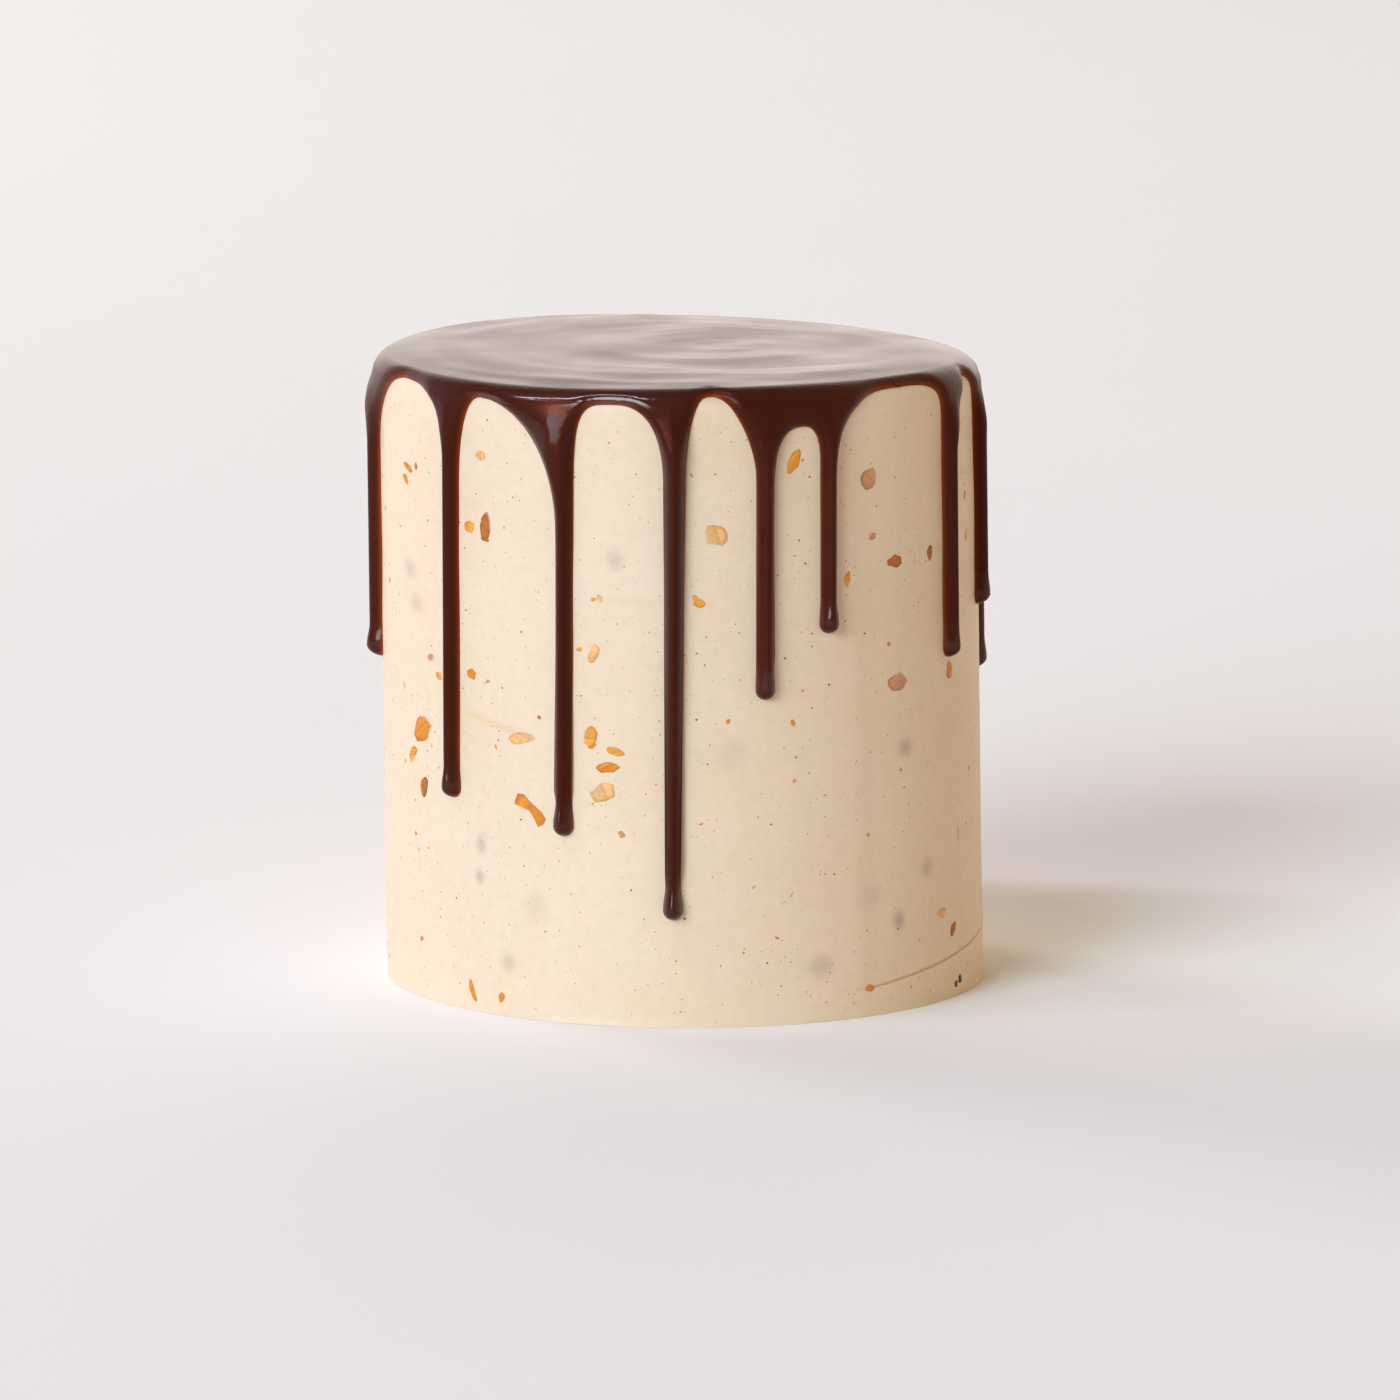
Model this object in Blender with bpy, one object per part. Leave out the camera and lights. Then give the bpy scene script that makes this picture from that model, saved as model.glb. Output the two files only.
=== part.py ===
# A tall round layer cake: smooth buttercream with chopped peanuts in it, and a chocolate glaze
# poured over the top that runs down the side in long drips.
# Metres, +Z up. The origin is the centre of the flat base and the front faces -Y.
# An angle round the cake is counted in degrees from the front, growing towards +X.
import math
import random

import bmesh
import bpy
import numpy as np

# Frosted cake
BASE_RADIUS = 0.0746
TOP_RADIUS = 0.0738
CAKE_HEIGHT = 0.1546
LEAN = -0.0153  # how far the upright axis runs towards +X for each metre of height
EDGE_RADIUS = 0.0038
EDGE_SKEW = 0.0009  # the top edge is rounder by this at +X and sharper by it at -X
RIM_WAVES = ((1, 0.00050, -23.0), (2, 0.00055, 30.0))  # waves round the rim, height, angle of the crest
SIDE_WAVES = ((2, 0.00025, 70.0), (3, 0.00020, 10.0))  # the same for the radius of the side
SIDE_FADE = 0.06  # height up to which the waves of the side grow from nothing
CAKE_COLUMNS = 64
CAKE_SIDE_ROWS = 7
CAKE_EDGE_ROWS = 4
CAKE_TOP_RINGS = (0.5, 0.0)  # of the base radius

# Chocolate glaze
FILM = 0.0015
GAP = 0.00035  # free space between the glaze and the frosting
EDGE_GAP = 0.00030  # added to it half way round the top edge, where both faces are coarse arcs
LIP_RADIUS = 0.0026  # how far in from its free edge the glaze reaches full thickness
STEM_THICKNESS = 0.0028
BULB_LENGTH = 0.0085
RIDGE_FALLOFF = 0.0040  # how far a drip's thickness spreads into the film beside it
RIDGE_START = 0.0100  # how far below the rim a drip has its full thickness
LEAST_HALF = 0.0005  # half width under which the round end of a drip keeps its lip
ROW_BEND = 0.0020  # the more two neighbouring arches differ by this, the more a row between them bends
FLANK_CROWDING = 2.2  # rows crowd towards the arch's top, where the free edge turns fastest
EDGE_SAMPLES = 6  # points on a free edge for each of its rows
OUTER_COLUMNS = 6
INNER_COLUMNS = 5
TOP_RINGS = (0.0, 0.12, 0.45, 0.80)  # of the way from the middle to the rim
EDGE_ROWS = 4
FLANK_ROWS = 7
STEM_ROWS = 2
BULB_ROWS = 3
TIP_ROWS = 3

# Each drip: angle, height of its tip, half width at its top and at its foot, half width of its bulb
DRIPS = (
    (-88.0, 0.0800, 0.00230, 0.00220, 0.00270),
    (-48.4, 0.0525, 0.00230, 0.00225, 0.00260),
    (-21.8, 0.0465, 0.00240, 0.00215, 0.00255),
    (-0.5, 0.0269, 0.00290, 0.00180, 0.00245),
    (16.8, 0.0809, 0.00235, 0.00225, 0.00240),
    (29.6, 0.0963, 0.00220, 0.00205, 0.00240),
    (62.7, 0.0855, 0.00230, 0.00225, 0.00245),
    (81.6, 0.0949, 0.00230, 0.00225, 0.00255),
    (101.0, 0.0746, 0.00220, 0.00210, 0.00245),
    (122.0, 0.0630, 0.00235, 0.00210, 0.00255),
    (143.5, 0.1010, 0.00215, 0.00210, 0.00240),
    (164.0, 0.0410, 0.00250, 0.00195, 0.00250),
    (187.0, 0.0725, 0.00230, 0.00220, 0.00245),
    (208.0, 0.0900, 0.00220, 0.00210, 0.00240),
    (233.0, 0.0560, 0.00240, 0.00205, 0.00260),
    (254.0, 0.1010, 0.00220, 0.00215, 0.00245),
)

# The bare arch that follows each drip: angle of its top, how far that is below the rim, then for
# its left and its right flank the height and the exponent of a superellipse
ARCHES = (
    (-66.5, 0.0008, 0.022, 1.55, 0.022, 2.80),
    (-40.8, 0.0021, 0.022, 2.20, 0.031, 2.05),
    (-12.0, 0.0020, 0.024, 4.00, 0.020, 2.45),
    (6.7, 0.0003, 0.022, 2.30, 0.020, 1.55),
    (24.4, 0.0082, 0.015, 2.60, 0.009, 2.40),
    (47.0, 0.0008, 0.022, 2.60, 0.013, 3.60),
    (74.5, 0.0013, 0.018, 1.55, 0.016, 2.20),
    (91.0, 0.0031, 0.018, 2.00, 0.018, 2.00),
    (111.0, 0.0012, 0.020, 2.60, 0.017, 2.20),
    (132.5, 0.0018, 0.022, 2.20, 0.016, 2.80),
    (153.0, 0.0010, 0.015, 2.00, 0.024, 2.30),
    (176.0, 0.0016, 0.021, 3.00, 0.019, 2.00),
    (197.5, 0.0040, 0.018, 1.90, 0.020, 2.60),
    (220.5, 0.0012, 0.022, 2.80, 0.025, 2.10),
    (243.0, 0.0022, 0.017, 2.00, 0.014, 2.20),
    (263.5, 0.0070, 0.012, 2.00, 0.014, 1.80),
)

# Peanut pieces pressed flush into the frosting. Each kind: waist, bend and roughness of its outline
NUT_KINDS = {
    "chunk": (0.00, 0.00, 0.20),
    "sliver": (0.00, 0.15, 0.10),
    "boat": (0.05, 0.45, 0.10),
    "pinched": (-0.22, 0.00, 0.10),
}
NUT_SIDES = 8
NUT_DEPTH = 0.00070
NUT_RELIEF = 0.00040
NUT_RINGS = ((0.80, -NUT_DEPTH), (1.00, -0.00012), (0.75, NUT_RELIEF))  # share of the outline, lift
NUT_CROWN = 0.00048

# Each front piece: kind, angle, height, length, breadth, turn in degrees
FRONT_NUTS = (
    ("sliver", -64.5, 0.1318, 0.0050, 0.0016, -20),
    ("sliver", -65.7, 0.1288, 0.0032, 0.0018, -35),
    ("chunk", -40.9, 0.1383, 0.0030, 0.0025, 0),
    ("chunk", -44.0, 0.1204, 0.0030, 0.0030, 0),
    ("boat", -40.4, 0.1212, 0.0066, 0.0044, 80),
    ("chunk", -59.6, 0.0679, 0.0084, 0.0064, 20),
    ("sliver", -63.8, 0.0606, 0.0046, 0.0030, 50),
    ("sliver", -59.3, 0.0529, 0.0050, 0.0032, 75),
    ("boat", -32.1, 0.0701, 0.0076, 0.0036, 8),
    ("pinched", -30.1, 0.0523, 0.0098, 0.0050, -38),
    ("chunk", -17.5, 0.0714, 0.0052, 0.0034, 85),
    ("boat", -12.6, 0.0684, 0.0044, 0.0028, -15),
    ("boat", -14.2, 0.0645, 0.0056, 0.0036, 6),
    ("chunk", -15.1, 0.0578, 0.0058, 0.0048, 20),
    ("boat", -17.0, 0.0921, 0.0050, 0.0034, 70),
    ("chunk", 3.6, 0.1052, 0.0030, 0.0022, -30),
    ("boat", 22.0, 0.1394, 0.0060, 0.0038, 65),
    ("chunk", 7.0, 0.1216, 0.0054, 0.0048, -25),
    ("sliver", 33.4, 0.1089, 0.0038, 0.0018, 80),
    ("chunk", 38.7, 0.1333, 0.0054, 0.0044, 70),
    ("chunk", 45.4, 0.1121, 0.0044, 0.0031, 5),
    ("sliver", 56.0, 0.1124, 0.0038, 0.0024, 80),
    ("sliver", 72.0, 0.1242, 0.0024, 0.0018, 60),
    ("sliver", 72.3, 0.1141, 0.0032, 0.0018, 85),
    ("chunk", 39.5, 0.1192, 0.0024, 0.0021, 0),
    ("chunk", -56.3, 0.0860, 0.0024, 0.0020, 0),
    ("chunk", -53.6, 0.0819, 0.0024, 0.0020, 0),
    ("chunk", -44.0, 0.0839, 0.0032, 0.0024, -30),
    ("chunk", 45.5, 0.0822, 0.0062, 0.0048, 20),
    ("chunk", 62.9, 0.0821, 0.0044, 0.0036, 80),
    ("chunk", 58.8, 0.0218, 0.0042, 0.0032, 10),
    ("sliver", 63.2, 0.0171, 0.0036, 0.0026, 60),
    ("sliver", -44.6, 0.0052, 0.0054, 0.0017, 112),
    ("chunk", -37.2, 0.0045, 0.0024, 0.0019, 80),
    ("chunk", 37.6, 0.0071, 0.0025, 0.0018, -10),
)
BACK_NUTS = 34  # seeded over the part of the side that turns away from the front
BACK_ANGLES = (97.0, 263.0)
BACK_HEIGHTS = (0.006, 0.142)
BACK_LENGTHS = (0.0024, 0.0084)  # short pieces are commoner than long ones
BACK_BREADTHS = (0.45, 0.85)  # of a piece's length
NUT_CLEARANCE = 0.0016  # from a piece's rim to the glaze or to the next piece
SEED = 7

WELD = 0.000005  # points closer than this are one


def waves(angle, table):
    """Sum of cosines round the cake: count, height and crest angle of each."""
    return sum(height * np.cos(np.radians(count * (angle - crest))) for count, height, crest in table)


def side_radius(angle, z):
    """A straight taper from base to top, with a shallow unevenness that fades at the foot."""
    taper = BASE_RADIUS + (TOP_RADIUS - BASE_RADIUS) * z / CAKE_HEIGHT
    return taper + waves(angle, SIDE_WAVES) * np.sin(math.pi / 2 * np.clip(z / SIDE_FADE, 0.0, 1.0))


def edge_radius(angle):
    return EDGE_RADIUS + EDGE_SKEW * np.sin(np.radians(angle))


def rim_height(angle):
    return CAKE_HEIGHT + waves(angle, RIM_WAVES)


def side_top(angle):
    """Height at which the upright side starts to round over into the top."""
    return rim_height(angle) - edge_radius(angle)


def path_at_height(angle, z):
    """Path length of a height: the height itself on the side, then the arc length round the edge."""
    rise = np.clip((z - side_top(angle)) / edge_radius(angle), 0.0, 1.0)
    return np.where(rise > 0, side_top(angle) + edge_radius(angle) * np.arcsin(rise), z)


def path_at_rim(angle):
    return side_top(angle) + edge_radius(angle) * math.pi / 2


def cake_point(angle, path, lift):
    """Point at a path length, raised by lift along the surface's own normal."""
    angle, path, lift = np.broadcast_arrays(angle, path, lift)
    top = side_top(angle)
    edge = edge_radius(angle)
    bend = np.clip((path - top) / edge, 0.0, math.pi / 2)
    inward = np.maximum(path - path_at_rim(angle), 0.0)
    reach = side_radius(angle, top) - edge
    share = 1.0 - inward / reach
    radius = np.where(path < top, side_radius(angle, path), reach + edge * np.cos(bend) - inward)
    level = CAKE_HEIGHT + (rim_height(angle) - CAKE_HEIGHT) * share**2
    z = np.where(path < top, path, np.where(inward > 0, level, top + edge * np.sin(bend)))
    radius = radius + lift * np.cos(bend)
    z = z + lift * np.sin(bend)
    turn = np.radians(angle)
    return np.stack([LEAN * z + radius * np.sin(turn), -radius * np.cos(turn), z], axis=-1)


def drip_angle(drip, path):
    """A drip hangs plumb, so it wanders across the side of the leaning cake."""
    angle = DRIPS[drip][0]
    wander = -LEAN * (path - CAKE_HEIGHT) * math.cos(math.radians(angle)) / TOP_RADIUS
    return angle + np.degrees(wander)


def drip_half_width(drip, path):
    """Straight taper down the stem, a swelling bulb, and a round end."""
    _, tip, top_half, foot_half, bulb_half = DRIPS[drip]
    above = path - tip
    stem = foot_half + (top_half - foot_half) * np.clip(above / (CAKE_HEIGHT - tip), 0.0, 1.0)
    swell = np.clip((above - bulb_half) / (BULB_LENGTH - bulb_half), 0.0, 1.0)
    bulb = bulb_half + (stem - bulb_half) * (1 - np.cos(math.pi * swell)) / 2
    end = np.sqrt(np.clip(bulb_half**2 - (bulb_half - np.clip(above, 0.0, bulb_half)) ** 2, 0.0, None))
    return np.where(above < bulb_half, end, bulb)


def arch_of(index):
    """The arch's angle and the path length of its top."""
    angle, below = ARCHES[index][:2]
    return angle, float(path_at_height(angle, rim_height(angle) - below))


def flank_rows(drip, side):
    """Angles and path lengths of a drip's free edge from the arch's top down to its own tip."""
    index = drip if side > 0 else drip - 1
    arch_angle, arch_path = arch_of(index)
    if index < 0:
        arch_angle -= 360.0
    height, exponent = ARCHES[index][2:4] if side > 0 else ARCHES[index][4:6]
    tip, bulb_half = DRIPS[drip][1], DRIPS[drip][4]
    foot = min(arch_of(drip)[1] - ARCHES[drip][2], arch_of(drip - 1)[1] - ARCHES[drip - 1][4])
    flank = arch_path - (arch_path - foot) * (np.arange(1, FLANK_ROWS + 1) / FLANK_ROWS) ** FLANK_CROWDING
    stem = np.linspace(foot, tip + BULB_LENGTH, STEM_ROWS + 1)[1:]
    bulb = tip + np.linspace(BULB_LENGTH, bulb_half, BULB_ROWS + 1)[1:]
    end = tip + bulb_half * (1 - np.sin(math.pi / 2 * np.arange(1, TIP_ROWS + 1) / TIP_ROWS))
    path = np.concatenate([[arch_path], flank, stem, bulb, end])
    drop = np.clip((arch_path - path) / height, 0.0, 1.0)
    out = (1 - (1 - drop) ** exponent) ** (1 / exponent)
    stem_angle = drip_angle(drip, path) + side * np.degrees(drip_half_width(drip, path) / TOP_RADIUS)
    return arch_angle + (stem_angle - arch_angle) * out, path


def free_edge(drip):
    """The free edge of one drip as points in the plane of arc length and path length."""
    points = []
    for side in (-1, 1):
        angle, path = flank_rows(drip, side)
        finer = np.linspace(0, len(path) - 1, EDGE_SAMPLES * len(path))
        steps = np.arange(len(path))
        points.append(np.stack([np.interp(finer, steps, angle), np.interp(finer, steps, path)], axis=1))
    return np.concatenate(points)


def glaze_thickness(drip, angle, path, half):
    """Film, thickened to a ridge along each drip, that rounds down to nothing at its free edge."""
    count = len(DRIPS)
    thickness = np.full(angle.shape, FILM)
    nearest = np.full(angle.shape, 1.0)
    for neighbour in (drip - 1, drip, drip + 1):
        turn = 360.0 * (neighbour // count)
        other = neighbour % count
        half_width = drip_half_width(other, path)
        off = TOP_RADIUS * np.abs(np.radians(angle - turn - drip_angle(other, path)))
        ridge = np.exp(-((np.maximum(off - half_width, 0.0) / RIDGE_FALLOFF) ** 2))
        fade = np.clip((side_top(angle) - path) / RIDGE_START, 0.0, 1.0)
        swell = np.maximum(half_width, DRIPS[other][4] * (path < DRIPS[other][1] + DRIPS[other][4]))
        peak = STEM_THICKNESS * np.maximum(swell / DRIPS[other][3], 1.0)
        thickness += (peak - FILM) * ridge * fade**2 * (3 - 2 * fade)
        edge = free_edge(other)
        away = np.hypot(
            TOP_RADIUS * np.radians(angle[..., None] - turn - edge[:, 0]), path[..., None] - edge[:, 1]
        )
        nearest = np.minimum(nearest, away.min(axis=-1))
    lip = np.minimum(LIP_RADIUS, half)
    return thickness * np.sqrt(1 - (1 - np.clip(nearest / lip, 0.0, 1.0)) ** 2)


def across_row(left, right, across):
    """Path lengths of a row: it stays at the level of the higher side and bends down to the lower one."""
    power = 1 + abs(left - right) / ROW_BEND
    if left > right:
        return left - (left - right) * across**power
    return right - (right - left) * (1 - across) ** power


def glaze_grid(drip, outer):
    """Angles and path lengths of one drip's sector, row by row from the middle of the top to its tip."""
    if outer:  # columns crowd towards the free edges, as the round cross-section needs
        across = (np.sin(np.linspace(-math.pi / 2, math.pi / 2, OUTER_COLUMNS + 1)) + 1) / 2
    else:
        across = np.linspace(0.0, 1.0, INNER_COLUMNS + 1)
    left_angle, left_path = flank_rows(drip, -1)
    right_angle, right_path = flank_rows(drip, 1)
    head_angle = left_angle[0] + (right_angle[0] - left_angle[0]) * across
    head_path = across_row(left_path[0], right_path[0], across)
    rim = path_at_rim(head_angle)
    reach = side_radius(head_angle, side_top(head_angle)) - edge_radius(head_angle)
    rows = [(head_angle, rim + reach * (1 - share)) for share in TOP_RINGS]
    arc = edge_radius(head_angle) * math.pi / 2
    for k in range(EDGE_ROWS):
        down = np.minimum((rim - head_path) * k / EDGE_ROWS, arc * k / (EDGE_ROWS - 1))
        rows.append((head_angle, rim - down))
    for k in range(len(left_path)):
        rows.append(
            (
                left_angle[k] + (right_angle[k] - left_angle[k]) * across,
                across_row(left_path[k], right_path[k], across),
            )
        )
    head = len(TOP_RINGS) + EDGE_ROWS
    return np.array([row[0] for row in rows]), np.array([row[1] for row in rows]), head


def glaze_sheet(drip, outer):
    """Points of one sector of the glaze's outer or inner face."""
    angle, path, head = glaze_grid(drip, outer)
    bend = np.clip((path - side_top(angle)) / edge_radius(angle), 0.0, math.pi / 2)
    lift = GAP + EDGE_GAP * np.sin(2 * bend)
    if outer:
        half = TOP_RADIUS * np.radians(angle[:, -1:] - angle[:, :1]) / 2
        bulb_half = DRIPS[drip][4]
        half = np.where(path < DRIPS[drip][1] + bulb_half, bulb_half, np.maximum(half, LEAST_HALF))
        thickness = glaze_thickness(drip, angle, path, half)
        thickness[head:, [0, -1]] = 0.0
        thickness[-1] = 0.0
        lift = lift + thickness
    return cake_point(angle, path, lift)


def add_grid(mesh, points, outward):
    """Adds a grid of points and its faces to a bmesh, turned outward or inward."""
    verts = [[mesh.verts.new(point) for point in row] for row in points]
    for upper, lower in zip(verts[:-1], verts[1:]):
        for k in range(len(upper) - 1):
            loop = (upper[k], lower[k], lower[k + 1], upper[k + 1])
            mesh.faces.new(loop if outward else loop[::-1])


def new_object(name, mesh, material):
    data = bpy.data.meshes.new(name)
    mesh.to_mesh(data)
    mesh.free()
    data.shade_smooth()
    data.materials.append(material)
    made = bpy.data.objects.new(name, data)
    bpy.context.scene.collection.objects.link(made)
    return made


def new_material(name, color, roughness):
    material = bpy.data.materials.new(name)
    material.use_nodes = True
    shader = material.node_tree.nodes["Principled BSDF"]
    shader.inputs["Base Color"].default_value = (*color, 1.0)
    shader.inputs["Roughness"].default_value = roughness
    return material


def cake_mesh():
    """Turned profile of the frosted cake, set out of true by its rim, side and lean."""
    mesh = bmesh.new()
    steps = [0.0] + [k / CAKE_SIDE_ROWS for k in range(CAKE_SIDE_ROWS + 1)]
    profile = [mesh.verts.new((0.0, 0.0, 0.0))]
    profile += [mesh.verts.new((BASE_RADIUS, 0.0, share)) for share in steps[1:]]
    for k in range(1, CAKE_EDGE_ROWS + 1):
        profile.append(mesh.verts.new((BASE_RADIUS, 0.0, 1.0 + k / CAKE_EDGE_ROWS)))
    profile += [mesh.verts.new((BASE_RADIUS * share, 0.0, 2.0)) for share in CAKE_TOP_RINGS]
    edges = [mesh.edges.new(pair) for pair in zip(profile[:-1], profile[1:])]
    bmesh.ops.spin(
        mesh,
        geom=profile + edges,
        axis=(0.0, 0.0, 1.0),
        cent=(0.0, 0.0, 0.0),
        steps=CAKE_COLUMNS,
        angle=2 * math.pi,
    )
    bmesh.ops.remove_doubles(mesh, verts=mesh.verts[:], dist=WELD)
    for vert in mesh.verts:
        x, y, stage = vert.co
        radius = math.hypot(x, y)
        angle = math.degrees(math.atan2(x, -y))
        if stage == 0.0:
            vert.co = (x, y, 0.0)
            continue
        top = float(side_top(angle))
        if stage <= 1.0:
            path = top * stage
        elif radius > BASE_RADIUS * 0.99:
            path = top + float(edge_radius(angle)) * math.pi / 2 * (stage - 1.0)
        else:
            reach = float(side_radius(angle, top) - edge_radius(angle))
            path = float(path_at_rim(angle)) + reach * (1 - radius / BASE_RADIUS)
        vert.co = cake_point(angle, path, 0.0)
    bmesh.ops.recalc_face_normals(mesh, faces=mesh.faces[:])
    return mesh


def nut_mesh(kind, angle, height, length, breadth, turn, draw):
    """A flat pebble: a rough outline with one ring below the frosting, one above it and a crown."""
    waist, bend, rough = NUT_KINDS[kind]
    around = np.arange(NUT_SIDES) * 2 * math.pi / NUT_SIDES
    size = 1 + waist * np.cos(2 * around + math.pi) + np.array([draw.uniform(-rough, rough) for _ in around])
    along = size * np.cos(around) * length / 2
    across = size * np.sin(around) * breadth / 2 + bend * breadth * (0.5 - np.cos(around) ** 2)
    spin = math.radians(turn)
    x = along * math.cos(spin) - across * math.sin(spin)
    z = along * math.sin(spin) + across * math.cos(spin)
    middle_x, middle_z = x.mean(), z.mean()

    def placed(scale, lift):
        turned = angle + np.degrees((middle_x + (x - middle_x) * scale) / TOP_RADIUS)
        return cake_point(turned, height + middle_z + (z - middle_z) * scale, lift)

    mesh = bmesh.new()
    rings = [placed(share, lift) for share, lift in NUT_RINGS]
    verts = [[mesh.verts.new(point) for point in ring] for ring in rings]
    crown = mesh.verts.new(placed(0.0, NUT_CROWN)[0])
    keel = mesh.verts.new(placed(0.0, -NUT_DEPTH)[0])
    for k in range(NUT_SIDES):
        after = (k + 1) % NUT_SIDES
        mesh.faces.new((keel, verts[0][after], verts[0][k]))
        for low, high in zip(verts[:-1], verts[1:]):
            mesh.faces.new((low[k], low[after], high[after], high[k]))
        mesh.faces.new((verts[2][k], verts[2][after], crown))
    bmesh.ops.recalc_face_normals(mesh, faces=mesh.faces[:])
    return mesh


def clear_of_glaze(angle, height, reach):
    """True where a piece of this reach keeps off every drip and arch edge."""
    for drip in range(len(DRIPS)):
        edge = free_edge(drip)
        turn = (angle - edge[:, 0] + 180.0) % 360.0 - 180.0
        if np.hypot(TOP_RADIUS * np.radians(turn), height - edge[:, 1]).min() < reach:
            return False
        off = abs((angle - DRIPS[drip][0] + 180.0) % 360.0 - 180.0)
        if height > DRIPS[drip][1] and TOP_RADIUS * math.radians(off) < reach:
            return False
    return True


def back_nuts():
    """Seeded pieces of the same kinds and sizes as the front ones, clear of the glaze and each other."""
    draw = random.Random(SEED)
    placed = []
    while len(placed) < BACK_NUTS:
        angle = draw.uniform(*BACK_ANGLES)
        height = draw.uniform(*BACK_HEIGHTS)
        kind = draw.choice(("chunk", "chunk", "sliver", "boat", "pinched"))
        short, long = BACK_LENGTHS
        length = short + (long - short) * draw.random() ** 2
        breadth = length * draw.uniform(*BACK_BREADTHS)
        turn = draw.uniform(-90.0, 90.0)
        reach = length / 2 + NUT_CLEARANCE
        apart = [
            math.hypot(TOP_RADIUS * math.radians(angle - other[1]), height - other[2]) > reach + other[3] / 2
            for other in placed
        ]
        if all(apart) and clear_of_glaze(angle, height, reach):
            placed.append((kind, angle, height, length, breadth, turn))
    return placed


def build_frosted_cake():
    """The cake with the peanut pieces joined to it by one union."""
    frosting = new_material("buttercream", (0.93, 0.80, 0.62), 0.6)
    cake = new_object("frosted_cake", cake_mesh(), frosting)
    pieces = bpy.data.collections.new("peanut_pieces")
    bpy.context.scene.collection.children.link(pieces)
    draw = random.Random(SEED)
    for row in FRONT_NUTS + tuple(back_nuts()):
        piece = new_object("peanut", nut_mesh(*row, draw), frosting)
        bpy.context.scene.collection.objects.unlink(piece)
        pieces.objects.link(piece)
    union = cake.modifiers.new("peanuts", "BOOLEAN")
    union.operation = "UNION"
    union.solver = "EXACT"
    union.operand_type = "COLLECTION"
    union.collection = pieces
    bpy.context.view_layer.update()
    joined = bpy.data.meshes.new_from_object(cake.evaluated_get(bpy.context.evaluated_depsgraph_get()))
    cake.modifiers.clear()
    cake.data = joined
    for piece in list(pieces.objects):
        bpy.data.objects.remove(piece)
    bpy.data.collections.remove(pieces)


def build_glaze():
    """Outer and inner face of every sector, welded into one closed skin."""
    chocolate = new_material("chocolate_glaze", (0.075, 0.028, 0.020), 0.3)
    mesh = bmesh.new()
    for drip in range(len(DRIPS)):
        add_grid(mesh, glaze_sheet(drip, True), True)
        add_grid(mesh, glaze_sheet(drip, False), False)
    bmesh.ops.remove_doubles(mesh, verts=mesh.verts[:], dist=WELD)
    bmesh.ops.dissolve_degenerate(mesh, edges=mesh.edges[:], dist=WELD / 5)
    bmesh.ops.recalc_face_normals(mesh, faces=mesh.faces[:])
    new_object("ganache", mesh, chocolate)


for old in list(bpy.data.objects):
    bpy.data.objects.remove(old, do_unlink=True)
build_frosted_cake()
build_glaze()
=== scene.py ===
import math
import random

import bmesh
import bpy
import numpy as np
from mathutils import Matrix, Vector


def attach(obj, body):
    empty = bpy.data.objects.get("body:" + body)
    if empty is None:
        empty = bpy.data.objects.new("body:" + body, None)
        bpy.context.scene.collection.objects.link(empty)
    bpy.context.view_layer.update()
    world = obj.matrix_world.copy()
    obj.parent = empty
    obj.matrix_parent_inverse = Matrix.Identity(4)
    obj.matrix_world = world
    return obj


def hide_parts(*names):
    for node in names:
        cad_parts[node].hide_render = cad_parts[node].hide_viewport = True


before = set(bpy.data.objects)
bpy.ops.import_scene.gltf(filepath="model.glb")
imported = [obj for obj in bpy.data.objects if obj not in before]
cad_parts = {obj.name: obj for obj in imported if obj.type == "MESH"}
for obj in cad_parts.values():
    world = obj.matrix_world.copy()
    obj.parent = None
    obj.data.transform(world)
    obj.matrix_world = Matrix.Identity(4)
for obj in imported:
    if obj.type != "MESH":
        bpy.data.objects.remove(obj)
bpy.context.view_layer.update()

# A tall drip cake, in metres, +Z up, front towards -Y. Angles round the cake are degrees from the
# front and grow towards +X. The shapes repeat the solids' own formulas, on finer grids.
print("frame loaded:", sorted(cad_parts))

cake = {
    "baseRadius": 0.0746,
    "topRadius": 0.0738,
    "height": 0.1546,
    "lean": -0.0153,  # run of the axis towards +X for each metre of height
    "edgeRadius": 0.0038,
    "edgeSkew": 0.0009,
    "rimWaves": ((1, 0.00050, -23.0), (2, 0.00055, 30.0)),
    "sideWaves": ((2, 0.00025, 70.0), (3, 0.00020, 10.0)),
    "steadyFoot": 0.06,  # height over which the side's waves grow from nothing
    "columns": 480,
    "footShare": 0.008,  # lowest share of the side, which has rows of its own
    "footRows": 8,
    "sideRows": 150,
    "edgeRows": 8,
    "topRows": 5,
    "reliefFade": 0.004,  # length below the rim over which the side's marks fade
}


# Numbers shared by all pieces


def waves(angle, table):
    # sum of cosines round the cake, each with its count, height and crest angle
    return sum(height * np.cos(np.radians(count * (angle - crest))) for count, height, crest in table)


def smooth(t):
    # 0 to 1 with level ends: 3t^2 - 2t^3
    t = np.clip(t, 0.0, 1.0)
    return t * t * (3 - 2 * t)


def ripple(u, v, seed, count, slowest, fastest):
    # seeded sum of count plane waves over (u, v), slowest to fastest waves for each unit of v, and
    # whole numbers of them in u so that they close round 1
    draw = np.random.default_rng(seed)
    total = np.zeros(np.broadcast(u, v).shape)
    for _ in range(count):
        a = draw.integers(-fastest, fastest + 1)
        b = draw.uniform(slowest, fastest) * draw.choice((-1, 1))
        total += np.cos(2 * math.pi * (a * u + b * v) + draw.uniform(0, 2 * math.pi))
    return total / math.sqrt(count)


def apart(angle, other):
    # signed turn between two angles, -180 to 180 degrees
    return (angle - other + 180.0) % 360.0 - 180.0


def sideLength(degrees):
    # length of a turn along the side
    return cake["topRadius"] * np.radians(degrees)


def softSpot(angle, path, spot):
    # strength * exp(-d^2), with d measured in the spot's own half width and half height
    middle, level, wide, tall, strength = spot
    return strength * np.exp(-((sideLength(angle - middle) / wide) ** 2) - ((path - level) / tall) ** 2)


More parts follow.
